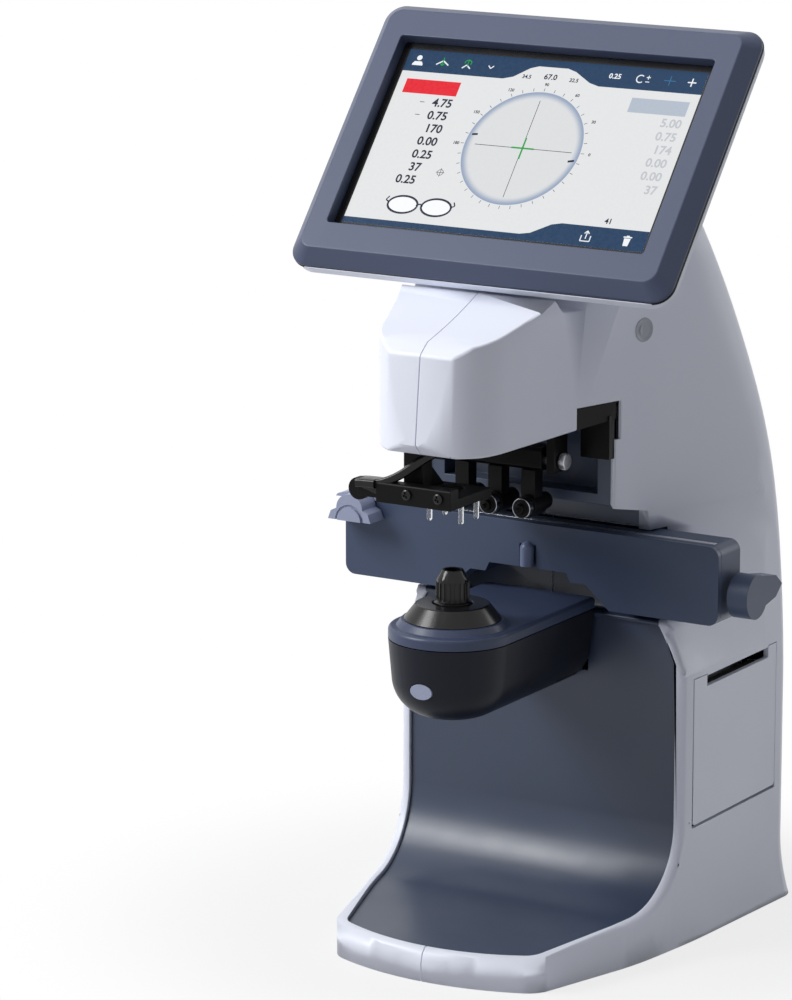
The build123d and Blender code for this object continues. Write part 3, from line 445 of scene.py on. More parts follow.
# The dark bay behind the table: where its faces lie, in millimetres across, back and up
BAY = ((0, 61.1), (103.5, 115.6), (147.8, 192))
BAY_SIDE = 0.061
BAY_FLOOR = 0.1479


def flare(point):
    """How far the foot spreads sideways at a point, in metres."""
    if abs(point.x) <= FLARE_INSIDE:
        return 0.0
    rise = max(0.0, 1 - point.z / FLARE_HEIGHT)
    run = min(max((point.y - at(FLARE_START)) / FLARE_RUN, 0.0), 1.0)
    run = run * run * (3 - 2 * run)
    return math.copysign(FLARE_REACH * rise ** 2 * run, point.x)


def housing_half(name):
    """A half of the housing with rounded rims, a dark bay behind the table and a spreading foot."""
    mesh = nodes[name].data.copy()
    work = merged(mesh)
    # Levels on which the foot can bend
    cut_faces(work, (0, at(FLARE_START), 0), (0, 1, 0), (0, 90), (40, 230), (-1, 40))
    for height in (3, 6, 9, 12, 15.5, 19, 23, 27):
        cut_faces(work, (0, 0, height * MM), (0, 0, 1), (0, 90), (100, 230), (-1, 400))
    # Borders of the dark bay
    cut_faces(work, (0, 0, BAY_FLOOR), (0, 0, 1), (0, 90), (103.5, 105), (20, 400))
    for side in (-BAY_SIDE, BAY_SIDE):
        cut_faces(work, (side, 0, 0), (1, 0, 0), (0, 90), (103.5, 115.6), (147.5, 192))
    work.normal_update()
    for face in work.faces:
        if all(within(vertex.co, *BAY) for vertex in face.verts):
            face.material_index = 1
    weight = work.edges.layers.float.new("bevel_weight_edge")
    for edge in work.edges:
        if len(edge.link_faces) == 2 and edge.calc_face_angle_signed(0) > ROUNDED_FROM:
            edge[weight] = rounding(edge) / RIM_ROUND
    for vertex in work.verts:
        vertex.co.x += flare(vertex.co)
    work.to_mesh(mesh)
    work.free()
    thing = piece(f"{name}_soft", mesh, None, "stand", (name,))
    mesh.materials.append(slate_panel)
    bevel = thing.modifiers.new("edges", "BEVEL")
    bevel.width = RIM_ROUND * MM
    bevel.segments = 4
    bevel.limit_method = "WEIGHT"
    bevel.use_clamp_overlap = False
    shaded(thing)


housing_half("shell_left")
housing_half("shell_right")


# What repeats: shapes set out on points by Geometry Nodes

set_out_tree = bpy.data.node_groups.new("set_out", "GeometryNodeTree")
for label, kind in (("Places", "NodeSocketGeometry"), ("Shape", "NodeSocketObject"), ("Finish", "NodeSocketMaterial")):
    set_out_tree.interface.new_socket(label, in_out="INPUT", socket_type=kind)
set_out_tree.interface.new_socket("Size", in_out="INPUT", socket_type="NodeSocketFloat")
set_out_tree.interface.new_socket("Result", in_out="OUTPUT", socket_type="NodeSocketGeometry")


def fill_set_out(tree):
    """Puts the shape on each place, with its Z along the way it faces and its X towards its sideways, and sizes it."""
    entry = tree.nodes.new("NodeGroupInput")
    exit_node = tree.nodes.new("NodeGroupOutput")
    shape = tree.nodes.new("GeometryNodeObjectInfo")
    places = tree.nodes.new("GeometryNodeMeshToPoints")
    along = tree.nodes.new("FunctionNodeAlignEulerToVector")
    along.axis = "Z"
    normal = tree.nodes.new("GeometryNodeInputNamedAttribute")
    normal.data_type = "FLOAT_VECTOR"
    normal.inputs["Name"].default_value = "facing"
    side = tree.nodes.new("GeometryNodeInputNamedAttribute")
    side.data_type = "FLOAT_VECTOR"
    side.inputs["Name"].default_value = "sideways"
    across = tree.nodes.new("FunctionNodeAlignEulerToVector")
    across.axis = "X"
    across.pivot_axis = "Z"
    put = tree.nodes.new("GeometryNodeInstanceOnPoints")
    whole = tree.nodes.new("GeometryNodeRealizeInstances")
    paint = tree.nodes.new("GeometryNodeSetMaterial")
    link = tree.links.new
    link(entry.outputs["Places"], places.inputs["Mesh"])
    link(entry.outputs["Shape"], shape.inputs["Object"])
    link(normal.outputs["Attribute"], along.inputs["Vector"])
    link(along.outputs["Rotation"], across.inputs["Rotation"])
    link(side.outputs["Attribute"], across.inputs["Vector"])
    link(places.outputs["Points"], put.inputs["Points"])
    link(shape.outputs["Geometry"], put.inputs["Instance"])
    link(across.outputs["Rotation"], put.inputs["Rotation"])
    link(entry.outputs["Size"], put.inputs["Scale"])
    link(put.outputs["Instances"], whole.inputs["Geometry"])
    link(whole.outputs["Geometry"], paint.inputs["Geometry"])
    link(entry.outputs["Finish"], paint.inputs["Material"])
    link(paint.outputs["Geometry"], exit_node.inputs["Result"])


fill_set_out(set_out_tree)
socket_of = {
    item.name: item.identifier
    for item in set_out_tree.interface.items_tree
    if item.item_type == "SOCKET" and item.in_out == "INPUT"
}


def set_out(name, shape, places, finish, body, stands_for=(), slot=None, size=1.0):
    """One mesh of a shape set out on places, each a point, the way it faces and its sideways."""
    points = bpy.data.meshes.new(f"{name}_places")
    points.from_pydata([place[0] for place in places], [], [])
    for index, label in ((1, "facing"), (2, "sideways")):
        field = points.attributes.new(label, "FLOAT_VECTOR", "POINT")
        for entry, place in zip(field.data, places):
            entry.vector = place[index]
    holder = bpy.data.objects.new(f"{name}_places", points)
    bpy.context.scene.collection.objects.link(holder)
    modifier = holder.modifiers.new("set_out", "NODES")
    modifier.node_group = set_out_tree
    modifier[socket_of["Shape"]] = shape
    modifier[socket_of["Finish"]] = finish
    modifier[socket_of["Size"]] = size
    evaluated = holder.evaluated_get(bpy.context.evaluated_depsgraph_get())
    mesh = bpy.data.meshes.new_from_object(evaluated)
    bpy.data.objects.remove(holder)
    for index, label in ((1, "facing"), (2, "sideways")):
        if label in mesh.attributes:
            mesh.attributes.remove(mesh.attributes[label])
    return piece(name, mesh, finish, body, stands_for, slot)


def outward(name, work):
    """The mesh of a bmesh with its faces turned outwards, in metres."""
    bmesh.ops.recalc_face_normals(work, faces=work.faces)
    mesh = bpy.data.meshes.new(name)
    work.to_mesh(mesh)
    work.free()
    return mesh


def pattern_shape(name, build):
    """A shape for setting out, made in millimetres by a function that fills a bmesh."""
    work = bmesh.new()
    build(work)
    bmesh.ops.scale(work, vec=(MM, MM, MM), verts=work.verts)
    shape = bpy.data.objects.new(name, outward(name, work))
    bpy.context.scene.collection.objects.link(shape)
    return shape


def ring(work, radius, height, steps):
    """Points round Z at a height."""
    angles = [math.tau * step / steps for step in range(steps)]
    return [work.verts.new((radius * math.cos(angle), radius * math.sin(angle), height)) for angle in angles]


def turned(work, profile, steps):
    """Spins a profile of radius and height about Z into a closed shape."""
    rings = []
    for radius, height in profile:
        if radius == 0:
            rings.append([work.verts.new((0, 0, height))])
        else:
            rings.append(ring(work, radius, height, steps))
    for low, high in zip(rings, rings[1:]):
        for step in range(steps):
            following = (step + 1) % steps
            if len(low) == 1:
                work.faces.new((low[0], high[step], high[following]))
            elif len(high) == 1:
                work.faces.new((low[step], low[following], high[0]))
            else:
                work.faces.new((low[step], low[following], high[following], high[step]))


def brick(work, middle, size):
    made = bmesh.ops.create_cube(work, size=1.0)
    for vertex in made["verts"]:
        vertex.co = Vector([vertex.co[axis] * size[axis] + middle[axis] for axis in range(3)])


def cross_screw(work):
    """A domed head with a cross cut into it, Z outwards, standing on its seat, 1 mm in radius."""
    steps = 48
    arm, reach, depth, edge = 0.17, 0.62, 0.34, 0.52
    base = ring(work, 1, 0, steps)
    rim = ring(work, 0.97, edge - 0.14, steps)
    inner = ring(work, 0.8, edge - 0.03, steps)
    for low, high in ((base, rim), (rim, inner)):
        for step in range(steps):
            following = (step + 1) % steps
            work.faces.new((low[step], low[following], high[following], high[step]))
    outline = [
        (arm, reach), (arm, arm), (reach, arm), (reach, -arm), (arm, -arm), (arm, -reach),
        (-arm, -reach), (-arm, -arm), (-reach, -arm), (-reach, arm), (-arm, arm), (-arm, reach),
    ]
    top = [work.verts.new((x, y, edge)) for x, y in outline]
    low = [work.verts.new((x * 0.86, y * 0.86, edge - depth)) for x, y in outline]
    edges = []
    for loop in (top, inner):
        for index, vertex in enumerate(loop):
            following = loop[(index + 1) % len(loop)]
            edges.append(work.edges.get((vertex, following)) or work.edges.new((vertex, following)))
    bmesh.ops.triangle_fill(work, edges=edges, use_beauty=True)
    for index in range(len(outline)):
        following = (index + 1) % len(outline)
        work.faces.new((top[index], top[following], low[following], low[index]))
    work.faces.new(low)
    work.faces.new(list(reversed(base)))


screw_shape = pattern_shape("cross_screw", cross_screw)
front = Vector((0, -1, 0))
rear = Vector((0, 1, 0))
upward = Vector((0, 0, 1))
set_out(
    "holder_screw_heads",
    screw_shape,
    [(Vector((x, at(0.001), 0.22)), front, Vector((0.94, 0, 0.34))) for x in (-0.008, 0.008)],
    black_gloss,
    "holder",
    ("holder_screws",),
    slot="black_plastic",
    size=2.3,
)
set_out(
    "rear_panel_screw_heads",
    screw_shape,
    [
        (Vector((x, at(0.2108), z)), rear, Vector((0.8, 0, 0.6)))
        for x in (-0.0385, 0.0385)
        for z in (0.018, 0.058)
    ],
    steel,
    "stand",
    ("panel_screws",),
    size=2.8,
)


def rib(work):
    """One rib of the lens rest's grip: a low rounded bar along Z, standing out along X."""
    half, height, out = 0.42, 4.0, 0.42
    section = [(-half, -0.3), (-half * 0.62, out * 0.8), (0, out), (half * 0.62, out * 0.8), (half, -0.3)]
    for level in (-1, 1):
        for across, stand in section:
            work.verts.new((stand, across, level * (height - (0.35 if stand > 0 else 0))))
    work.verts.ensure_lookup_table()
    count = 5
    for index in range(count):
        following = (index + 1) % count
        work.faces.new([work.verts[i] for i in (index, following, following + count, index + count)])
    work.faces.new([work.verts[i] for i in range(count)])
    work.faces.new([work.verts[i + count] for i in reversed(range(count))])


def around(centre, radius, count, start):
    """Places round an upright axis, each facing up with its sideways pointing out."""
    places = []
    for step in range(count):
        angle = start + math.tau * step / count
        way = Vector((math.cos(angle), math.sin(angle), 0))
        places.append((Vector(centre) + way * radius, upward, way))
    return places


set_out(
    "lens_rest_ribs",
    pattern_shape("rib", rib),
    around((0, at(AXIS_SETBACK), 0.1735), NOSE_RADIUS, 18, math.tau / 36),
    black_gloss,
    "lens_rest",
    slot="black_plastic",
)


def knurl(work):
    """One tooth of a knurled knob, along Z."""
    for level in (-1, 1):
        for x, y in ((-0.2, -0.24), (0.16, 0), (-0.2, 0.24)):
            work.verts.new((x, y, level * 1.3))
    work.verts.ensure_lookup_table()
    for index in range(3):
        following = (index + 1) % 3
        work.faces.new([work.verts[i] for i in (index, following, following + 3, index + 3)])
    work.faces.new([work.verts[i] for i in range(3)])
    work.faces.new([work.verts[i + 3] for i in (2, 1, 0)])


knob_places = []
for knob_x in (-0.0325, 0.0325):
    for step in range(28):
        angle = math.tau * step / 28
        way = Vector((0, math.cos(angle), math.sin(angle)))
        knob_places.append((Vector((knob_x, at(0.068), 0.227)) + way * 0.0036, Vector((1, 0, 0)), way))
set_out("marker_knob_knurls", pattern_shape("knurl", knurl), knob_places, steel, "marker", slot="steel")


# Small pieces that the photograph shows


def turned_mesh(name, profile, place, way, steps=48):
    """A turned shape, its profile in millimetres, standing on a place and pointing a way."""
    work = bmesh.new()
    turned(work, [(radius * MM, height * MM) for radius, height in profile], steps)
    mesh = outward(name, work)
    mesh.transform(Matrix.Translation(place) @ way.to_track_quat("Z", "Y").to_matrix().to_4x4())
    return mesh


def joined_mesh(name, meshes):
    """Several meshes as one, shaded smooth up to their sharp edges."""
    work = bmesh.new()
    for mesh in meshes:
        work.from_mesh(mesh)
    whole = bpy.data.meshes.new(name)
    work.to_mesh(whole)
    work.free()
    whole.polygons.foreach_set("use_smooth", [True] * len(whole.polygons))
    whole.set_sharp_from_angle(angle=math.radians(35))
    return whole


def flank_point(shell, side, setback, z):
    """Where the flank of a half of the housing lies, and the way it faces there."""
    mesh = nodes[shell].data
    tree = BVHTree.FromPolygons([vertex.co for vertex in mesh.vertices], [face.vertices for face in mesh.polygons])
    place, normal, _, _ = tree.ray_cast(Vector((side * 0.12, at(setback), z)), Vector((-side, 0, 0)))
    return place, normal * (1 if normal.x * side > 0 else -1)


plug_profile = [
    (0, -0.4), (5.3, -0.4), (5.45, 0.0), (5.3, 0.32), (4.95, 0.4), (4.6, 0.3), (4.25, 0.06), (3.2, 0.02), (0, 0.1),
]
plug_meshes = []
for side, shell in ((1, "shell_right"), (-1, "shell_left")):
    place, normal = flank_point(shell, side, 0.1, 0.2885)
    plug_meshes.append(turned_mesh("plug", plug_profile, place - upward * 0.0055, normal))
piece("side_plug_discs", joined_mesh("side_plug_discs", plug_meshes), plug_grey, "stand", ("side_plugs",))

# The raised index pin in the middle of the table's front, a half-round bar with a domed top
index_mesh = turned_mesh(
    "index",
    [(0, 0), (3.2, 0), (3.2, 8)] + [
        (3.2 * math.cos(math.radians(angle)), 8 + 3.2 * math.sin(math.radians(angle))) for angle in range(15, 90, 15)
    ] + [(0, 11.2)],
    Vector((0, at(0.0914), 0.1708)),
    upward,
    32,
)
piece("table_index_pin", joined_mesh("table_index_pin", [index_mesh]), slate_index, "table", slot="bezel_grey")


def swept_bar(name, points, half_width, half_height, up_way):
    """A flat bar with soft edges along a line of points, in metres."""
    work = bmesh.new()
    section = []
    for corner in range(4):
        for step in range(4):
            angle = math.radians(corner * 90 + step * 30)
            soft = min(half_width, half_height) * 0.5
            across = (half_width - soft) * (1 if corner in (0, 3) else -1) + soft * math.cos(angle)
            high = (half_height - soft) * (1 if corner in (0, 1) else -1) + soft * math.sin(angle)
            section.append((across, high))
    rings = []
    for index, point in enumerate(points):
        ahead = (points[min(index + 1, len(points) - 1)] - points[max(index - 1, 0)]).normalized()
        across_way = ahead.cross(up_way).normalized()
        high_way = across_way.cross(ahead)
        rings.append([work.verts.new(point + across_way * x + high_way * y) for x, y in section])
    for low, high in zip(rings, rings[1:]):
        for index in range(len(section)):
            following = (index + 1) % len(section)
            work.faces.new((low[index], low[following], high[following], high[index]))
    work.faces.new(list(reversed(rings[0])))
    work.faces.new(rings[-1])
    return outward(name, work)


# The curved finger bar that lifts the lens holder: from its flag up to the holder's arm
bar_points = [
    Vector((x, setback - HALF_DEPTH / MM, z)) * MM
    for x, setback, z in (
        (-29, 3.8, 222.6), (-25, 3.8, 222.9), (-21, 4, 223.8), (-17, 4.6, 225.6), (-13, 5.6, 228), (-9.5, 7, 230.8),
        (-6.5, 8.8, 233.4), (-4, 10.6, 235.4), (-1.5, 12.6, 237), (0.5, 14.5, 238),
    )
]
low_points = [
    Vector((x * MM, at(4.5 * MM), z * MM)) for x, z in ((-31, 221.6), (-28, 221), (-26, 220.2), (-23.5, 219.6))
]
flag_points = [
    Vector((x * MM, at(4.4 * MM), z * MM)) for x, z in ((-34, 222.4), (-31.5, 222.6), (-28.5, 222.7), (-24.5, 222.8))
]
lever_meshes = [
    swept_bar("finger_bar", bar_points, 2.6 * MM, 1.9 * MM, upward),
    swept_bar("finger_low", low_points, 2.6 * MM, 2.2 * MM, upward),
    swept_bar("finger_flag", flag_points, 4.6 * MM, 1.9 * MM, upward),
]
piece("finger_lever", joined_mesh("finger_lever", lever_meshes), black_gloss, "holder", ("thumb_lever",))


def rounded_outline(width, height, radius, steps=10):
    """A rectangle with round corners on the picture's plane, in millimetres, centred on the bezel."""
    outline = []
    for across, high, start in ((1, 1, 0), (-1, 1, 90), (-1, -1, 180), (1, -1, 270)):
        for step in range(steps + 1):
            angle = math.radians(start + 90 * step / steps)
            outline.append((
                across * (width / 2 - radius) + radius * math.cos(angle),
                high * (height / 2 - radius) + radius * math.sin(angle) - 2.6,
            ))
    return outline


def edge_band(name, outer, inner, low, high, finish, slot):
    """A thin band between two outlines and two levels on the display."""
    work = bmesh.new()
    rings = [
        [work.verts.new(on_picture(*point, level)) for point in outline]
        for outline, level in ((outer, low), (outer, high), (inner, high), (inner, low))
    ]
    for low_ring, high_ring in zip(rings, rings[1:] + rings[:1]):
        for index in range(len(low_ring)):
            following = (index + 1) % len(low_ring)
            work.faces.new((low_ring[index], low_ring[following], high_ring[following], high_ring[index]))
    return piece(name, outward(name, work), finish, "display", slot=slot)


# The dark parting line between the bezel and the white back of the display
edge_band(
    "display_parting_line",
    rounded_outline(193.16, 138.56, 9.08),
    rounded_outline(191.4, 136.8, 8.2),
    -2.75,
    -1.7,
    dark_line,
    "black_plastic",
)


# Picture on the display

PLATE = 0.02


def slab(name, outlines, finish, low):
    """Thin plates with these outlines, in millimetres on the picture, from a level over the glass."""
    high = low + PLATE
    work = bmesh.new()
    for outline in outlines:
        floor_ring = [work.verts.new(on_picture(*point, GLASS_FRONT + low)) for point in outline]
        roof_ring = [work.verts.new(on_picture(*point, GLASS_FRONT + high)) for point in outline]
        work.faces.new(list(reversed(floor_ring)))
        work.faces.new(roof_ring)
        for index in range(len(outline)):
            following = (index + 1) % len(outline)
            work.faces.new((floor_ring[index], floor_ring[following], roof_ring[following], roof_ring[index]))
    return piece(name, outward(name, work), finish, "display", slot="touch_glass")


def box(left, right, low, high):
    return [(left, low), (right, low), (right, high), (left, high)]


def round_spot(x, y, radius, steps):
    angles = [math.tau * step / steps for step in range(steps)]
    return [(x + radius * math.cos(angle), y + radius * math.sin(angle)) for angle in angles]


def stroke(points, width, closed=False):
    """Four-cornered strips along a line of points."""
    strips = []
    runs = list(zip(points, points[1:])) + ([(points[-1], points[0])] if closed else [])
    for (x0, y0), (x1, y1) in runs:
        length = math.hypot(x1 - x0, y1 - y0)
        over_x, over_y = -(y1 - y0) / length * width / 2, (x1 - x0) / length * width / 2
        strips.append([
            (x0 + over_x, y0 + over_y), (x0 - over_x, y0 - over_y),
            (x1 - over_x, y1 - over_y), (x1 + over_x, y1 + over_y),
        ])
    return strips


def arc(x, y, radius_x, radius_y, start, end, steps):
    angles = [math.radians(start + (end - start) * step / steps) for step in range(steps + 1)]
    return [(x + radius_x * math.cos(angle), y + radius_y * math.sin(angle)) for angle in angles]


half_picture = 76.3
picture_top = 43.4
picture_low = -48.6
slab("picture_ground", [box(-half_picture, half_picture, picture_low, picture_top)], picture_pale, 0.01)
slab(
    "picture_bars",
    [
        [
            (-half_picture, picture_top), (-half_picture, 32), (-24, 32), (-19, 33.4), (-12, 38.4), (-8, 39.8),
            (7, 39.8), (11.5, 38.4), (20, 33.4), (25, 32), (half_picture, 32), (half_picture, picture_top),
        ],
        [
            (-half_picture, -45.6), (14, -45.6), (19, -44.6), (28, -39.4), (33, -38.3), (half_picture, -38.3),
            (half_picture, picture_low), (-half_picture, picture_low),
        ],
    ],
    picture_navy,
    0.03,
)
slab("picture_red_block", [box(-72.2, -43.9, 20.6, 28)], picture_red, 0.03)
slab("picture_grey_block", [box(43.7, 72.4, 20.3, 27.8)], picture_grey, 0.03)
slab("picture_dial_face", [round_spot(*DIAL, DIAL_RADIUS, 96)], picture_dial, 0.03)
slab(
    "picture_dial_lines",
    [
        box(-25, 24.4, DIAL[1] - 0.14, DIAL[1] + 0.14),
        box(DIAL[0] - 0.14, DIAL[0] + 0.14, -28.3, 22.2),
        [(-28.2, 1.6), (-25.4, 1.9), (-25.5, 2.9), (-28.3, 2.6)],
        [(24.2, -7.9), (27.2, -7.2), (27, -6.2), (24, -6.9)],
    ],
    picture_ink,
    0.06,
)
slab(
    "picture_dial_cross",
    [box(-6.2, 5.2, -3.2, -2.4), box(-0.9, -0.1, -8.4, 2.7)],
    picture_green,
    0.09,
)


def tick(work):
    """A tick of the dial, along X, lying in the XY plane."""
    brick(work, (0, 0, 0.01), (1.6, 0.24, 0.02))


tick_places = []
for step in range(36):
    angle = math.tau * step / 36
    way = PICTURE_RIGHT * math.cos(angle) + PICTURE_UP * math.sin(angle)
    tick_places.append((on_picture(*DIAL, GLASS_FRONT + 0.03) + way * 0.0307, PICTURE_OUT, way))
set_out("picture_dial_ticks", pattern_shape("tick", tick), tick_places, picture_ink, "display", slot="touch_glass")


def figures(name, entries, finish):
    """Plain numbers on the picture: each entry is the text, where it starts, ends or centres, and its height."""
    joined = bmesh.new()
    for text, across, up_by, height, side in entries:
        curve = bpy.data.curves.new("figure", "FONT")
        curve.body = text
        curve.size = height * 1.42 * MM
        curve.align_x = side
        curve.align_y = "CENTER"
        curve.extrude = 0.01 * MM
        curve.resolution_u = 4
        curve.offset = height * 0.035 * MM
        holder = bpy.data.objects.new("figure", curve)
        bpy.context.scene.collection.objects.link(holder)
        flat = bpy.data.meshes.new_from_object(holder.evaluated_get(bpy.context.evaluated_depsgraph_get()))
        bpy.data.objects.remove(holder)
        place = Matrix((PICTURE_RIGHT, PICTURE_UP, PICTURE_OUT)).transposed().to_4x4()
        place.translation = on_picture(across, up_by, GLASS_FRONT + 0.06)
        flat.transform(place)
        joined.from_mesh(flat)
    bmesh.ops.remove_doubles(joined, verts=joined.verts, dist=1e-7)
    mesh = bpy.data.meshes.new(name)
    joined.to_mesh(mesh)
    joined.free()
    return piece(name, mesh, finish, "display", slot="touch_glass")


left_rows = [
    ("4.75", 16.4), ("0.75", 9.7), ("170", 2.9), ("0.00", -3.8), ("0.25", -10.7), ("37", -17.4), ("0.25", -24.1),
]
figures(
    "picture_left_numbers",
    [(text, -44.2 if row < 5 else -47.5, up_by, 4.2, "RIGHT") for row, (text, up_by) in enumerate(left_rows)]
    + [("34.5", -12.2, 33.9, 1.9, "CENTER"), ("67.0", -0.2, 34.6, 2.7, "CENTER"), ("32.5", 11.9, 33.9, 1.9, "CENTER")]
    + [("41", 54.8, -35.2, 2.6, "CENTER")]
    + [
        (text, across, up_by, 1.5, "CENTER")
        for text, across, up_by in (
            ("0", 33.4, -3.1), ("30", 29.4, 13.6), ("60", 16.5, 26.4), ("90", -0.6, 30.6), ("120", -17.4, 26.4),
            ("150", -30.4, 13.6), ("180", -34.6, -3),
        )
    ],
    picture_ink,
)
right_rows = [("5.00", 16.1), ("0.75", 9.2), ("174", 2.4), ("0.00", -4.3), ("0.00", -11.1), ("37", -18)]
figures("picture_right_numbers", [(text, 72.2, up_by, 4.2, "RIGHT") for text, up_by in right_rows], picture_faint)
figures("picture_bar_numbers", [("0.25", 31.4, 37.8, 2.5, "CENTER")], picture_white)
slab(
    "picture_marks",
    [
        *stroke(round_spot(-36.7, -18.9, 1.5, 20), 0.25, closed=True),
        box(-38.9, -34.5, -19.02, -18.78),
        box(-36.82, -36.58, -21.1, -16.7),
        *stroke(arc(-49.2, -36.9, 7.6, 4.4, 0, 360, 32), 1.0),
        *stroke(arc(-31.9, -36.9, 7.6, 4.4, 0, 360, 32), 1.0),
        *stroke(arc(-40.55, -37.6, 1.7, 1.6, 160, 20, 8), 0.7),
        *stroke([(-56.6, -36.2), (-58.4, -35.2), (-57.2, -33.2)], 0.6),
        *stroke([(-24.5, -36.2), (-22.8, -35.2), (-23.8, -33.4)], 0.6),
        *stroke([(-61, 16.4), (-58.6, 16.4)], 0.3),
        *stroke([(-61, 9.7), (-58.6, 9.7)], 0.3),
    ],
    picture_ink,
    0.06,
)
slab("picture_lenses", [arc(x, -36.9, 7.2, 4.0, 0, 360, 32)[:-1] for x in (-49.2, -31.9)], picture_lens, 0.04)
slab(
    "picture_white_marks",
    [
        round_spot(-70, 39.2, 1.35, 20),
        [(-72.7, 35.2), (-67.3, 35.2), (-67.3, 36), (-68.2, 37.3), (-71.8, 37.3), (-72.7, 36)],
        *stroke([(-60.4, 36.4), (-57.2, 38.6), (-54, 36.4)], 0.6),
        *stroke([(-46.6, 35.6), (-44.6, 37.4), (-42.4, 35.6)], 0.6),
        *stroke([(-33.4, 38), (-32, 36.6), (-30.6, 38)], 0.5),
        *stroke(arc(44.2, 37.6, 1.9, 1.9, 50, 310, 16), 0.55),
        *stroke([(47, 38.6), (49, 38.6)], 0.4),
        *stroke([(48, 37.6), (48, 39.6)], 0.4),
        *stroke([(47, 36.3), (49, 36.3)], 0.4),
        box(67.7, 71.9, 37.5, 38.1),
        box(69.5, 70.1, 35.7, 39.9),
        *stroke([(44.4, -43.2), (44.4, -46), (49, -46), (49, -43.2)], 0.5),
        *stroke([(46.7, -44.8), (46.7, -40.8)], 0.5),
        *stroke([(45.5, -42.2), (46.7, -40.8), (47.9, -42.2)], 0.5),
        [(65.3, -42.6), (65.7, -46.4), (68.1, -46.4), (68.5, -42.6)],
        box(64.8, 69, -42.3, -41.7),
        box(66.2, 67.6, -41.7, -41.2),
    ],
    picture_white,
    0.06,
)
slab(
    "picture_green_marks",
    [
        *stroke([(-57.2, 36), (-57.2, 40.2)], 0.5),
        *stroke([(-58.3, 37.2), (-57.2, 36), (-56.1, 37.2)], 0.5),
        *stroke(arc(-44.2, 38.6, 1.7, 1.3, -40, 200, 14), 0.5),
        *stroke([(-44.2, 36.2), (-44.2, 40.4)], 0.4),
    ],
    picture_green,
    0.09,
)
slab(
    "picture_dim_marks",
    [*stroke([(56, 37.8), (61.8, 37.8)], 0.4), *stroke([(58.9, 35.4), (58.9, 40.2)], 0.4)],
    picture_dim,
    0.06,
)

for shape in [thing for thing in bpy.data.objects if thing.name in ("cross_screw", "rib", "knurl", "tick")]:
    bpy.data.objects.remove(shape)


# Camera, light and floor

# The photo's camera: its angles, its distance from the front of the base and where that lies in the picture
AZIMUTH = 0.55252
ELEVATION = 0.22418
FOCAL_PIXELS = 4830.49
DISTANCE = 2.1397
PHOTO_SIZE = (792, 1000)
BASE_PIXEL = (420.9, 981.8)
SENSOR = 36.0
view_right = Vector((math.cos(AZIMUTH), math.sin(AZIMUTH), 0))
view_forward = Vector((
    -math.sin(AZIMUTH) * math.cos(ELEVATION),
    math.cos(AZIMUTH) * math.cos(ELEVATION),
    -math.sin(ELEVATION),
))
view_up = view_right.cross(view_forward)
camera_data = bpy.data.cameras.new("camera")
camera_data.sensor_fit = "VERTICAL"
camera_data.sensor_height = SENSOR
camera_data.lens = FOCAL_PIXELS * SENSOR / PHOTO_SIZE[1]
camera_data.clip_end = 20.0
camera = bpy.data.objects.new("camera", camera_data)
bpy.context.scene.collection.objects.link(camera)
per_pixel = DISTANCE / FOCAL_PIXELS
to_right, to_low = [pixel - size / 2 for pixel, size in zip(BASE_PIXEL, PHOTO_SIZE)]
to_base = view_forward * DISTANCE + view_right * to_right * per_pixel - view_up * to_low * per_pixel
camera.location = Vector((0, at(0), 0)) - to_base
camera.rotation_euler = Matrix((view_right, view_up, -view_forward)).transposed().to_euler()
bpy.context.scene.camera = camera


def lamp(name, place, target, size, power):
    data = bpy.data.lights.new(name, "AREA")
    data.shape = "RECTANGLE"
    data.size, data.size_y = size
    data.energy = power
    thing = bpy.data.objects.new(name, data)
    bpy.context.scene.collection.objects.link(thing)
    thing.location = place
    thing.rotation_euler = (Vector(target) - thing.location).to_track_quat("-Z", "Y").to_euler()


lamp("key", (-1.2, -1.0, 1.3), (0, 0, 0.2), (0.8, 0.9), 32.0)
lamp("top", (-0.1, -0.1, 1.6), (0, 0, 0.2), (1.1, 1.1), 7.0)
lamp("rear_right", (1.0, 1.5, 0.7), (0, 0.05, 0.2), (0.6, 1.0), 5.0)

world = bpy.data.worlds.new("studio")
bpy.context.scene.world = world
world.use_nodes = True
sky = world.node_tree
ambient = next(node for node in sky.nodes if node.type == "BACKGROUND")
ambient.inputs["Color"].default_value = (0.94, 0.96, 1.0, 1)
ambient.inputs["Strength"].default_value = 0.15
plain = sky.nodes.new("ShaderNodeBackground")
plain.inputs["Color"].default_value = (1, 1, 1, 1)
plain.inputs["Strength"].default_value = 1.0


def seen_directly(tree):
    """One where the ray comes from the camera, a glossy surface or glass, nought elsewhere."""
    path = tree.nodes.new("ShaderNodeLightPath")
    shown = path.outputs["Is Camera Ray"]
    for label in ("Is Glossy Ray", "Is Transmission Ray"):
        either = tree.nodes.new("ShaderNodeMath")
        either.operation = "MAXIMUM"
        tree.links.new(shown, either.inputs[0])
        tree.links.new(path.outputs[label], either.inputs[1])
        shown = either.outputs["Value"]
    return shown


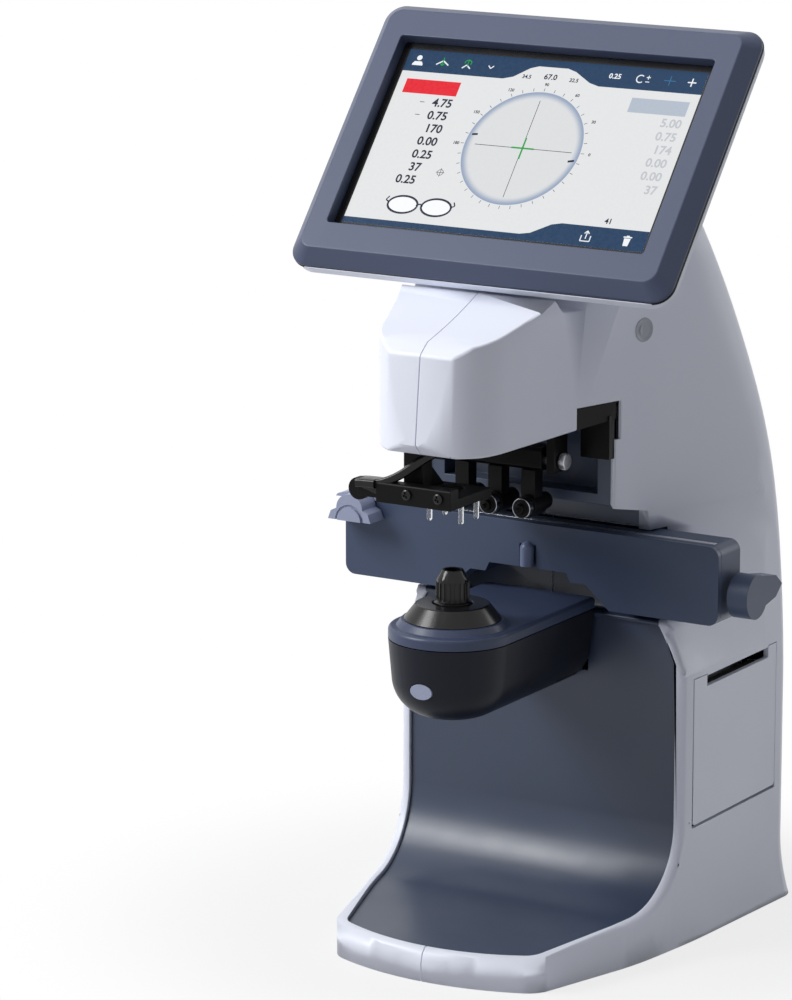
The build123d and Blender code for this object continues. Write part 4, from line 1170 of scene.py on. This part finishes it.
blend = sky.nodes.new("ShaderNodeMixShader")
output = next(node for node in sky.nodes if node.type == "OUTPUT_WORLD")
sky.links.new(seen_directly(sky), blend.inputs["Fac"])
sky.links.new(ambient.outputs["Background"], blend.inputs[1])
sky.links.new(plain.outputs["Background"], blend.inputs[2])
sky.links.new(blend.outputs["Shader"], output.inputs["Surface"])

floor_mesh = bpy.data.meshes.new("floor")
floor_mesh.from_pydata([(-3, -3, 0), (3, -3, 0), (3, 3, 0), (-3, 3, 0)], [], [(0, 1, 2, 3)])
floor = bpy.data.objects.new("floor", floor_mesh)
bpy.context.scene.collection.objects.link(floor)
floor_finish, floor_tree, floor_shader = shader_tree("floor")
floor_shader.inputs["Base Color"].default_value = (0.6, 0.6, 0.61, 1)
floor_shader.inputs["Roughness"].default_value = 0.8
floor_place = floor_tree.nodes.new("ShaderNodeTexCoord")
floor_reach = floor_tree.nodes.new("ShaderNodeVectorMath")
floor_reach.operation = "LENGTH"
floor_fade = floor_tree.nodes.new("ShaderNodeMapRange")
floor_fade.interpolation_type = "SMOOTHSTEP"
floor_fade.inputs["From Min"].default_value = 0.12
floor_fade.inputs["From Max"].default_value = 0.26
floor_fade.inputs["To Min"].default_value = 0.78
floor_share = floor_tree.nodes.new("ShaderNodeMath")
floor_share.operation = "MULTIPLY"
floor_white = floor_tree.nodes.new("ShaderNodeEmission")
floor_white.inputs["Color"].default_value = (1, 1, 1, 1)
floor_white.inputs["Strength"].default_value = 1.0
floor_blend = floor_tree.nodes.new("ShaderNodeMixShader")
floor_output = next(node for node in floor_tree.nodes if node.type == "OUTPUT_MATERIAL")
floor_tree.links.new(floor_place.outputs["Object"], floor_reach.inputs[0])
floor_tree.links.new(floor_reach.outputs["Value"], floor_fade.inputs["Value"])
floor_tree.links.new(floor_fade.outputs["Result"], floor_share.inputs[0])
floor_tree.links.new(seen_directly(floor_tree), floor_share.inputs[1])
floor_tree.links.new(floor_share.outputs["Value"], floor_blend.inputs["Fac"])
floor_tree.links.new(floor_shader.outputs["BSDF"], floor_blend.inputs[1])
floor_tree.links.new(floor_white.outputs["Emission"], floor_blend.inputs[2])
floor_tree.links.new(floor_blend.outputs["Shader"], floor_output.inputs["Surface"])
floor_mesh.materials.append(floor_finish)

bpy.context.scene.view_settings.view_transform = "Standard"
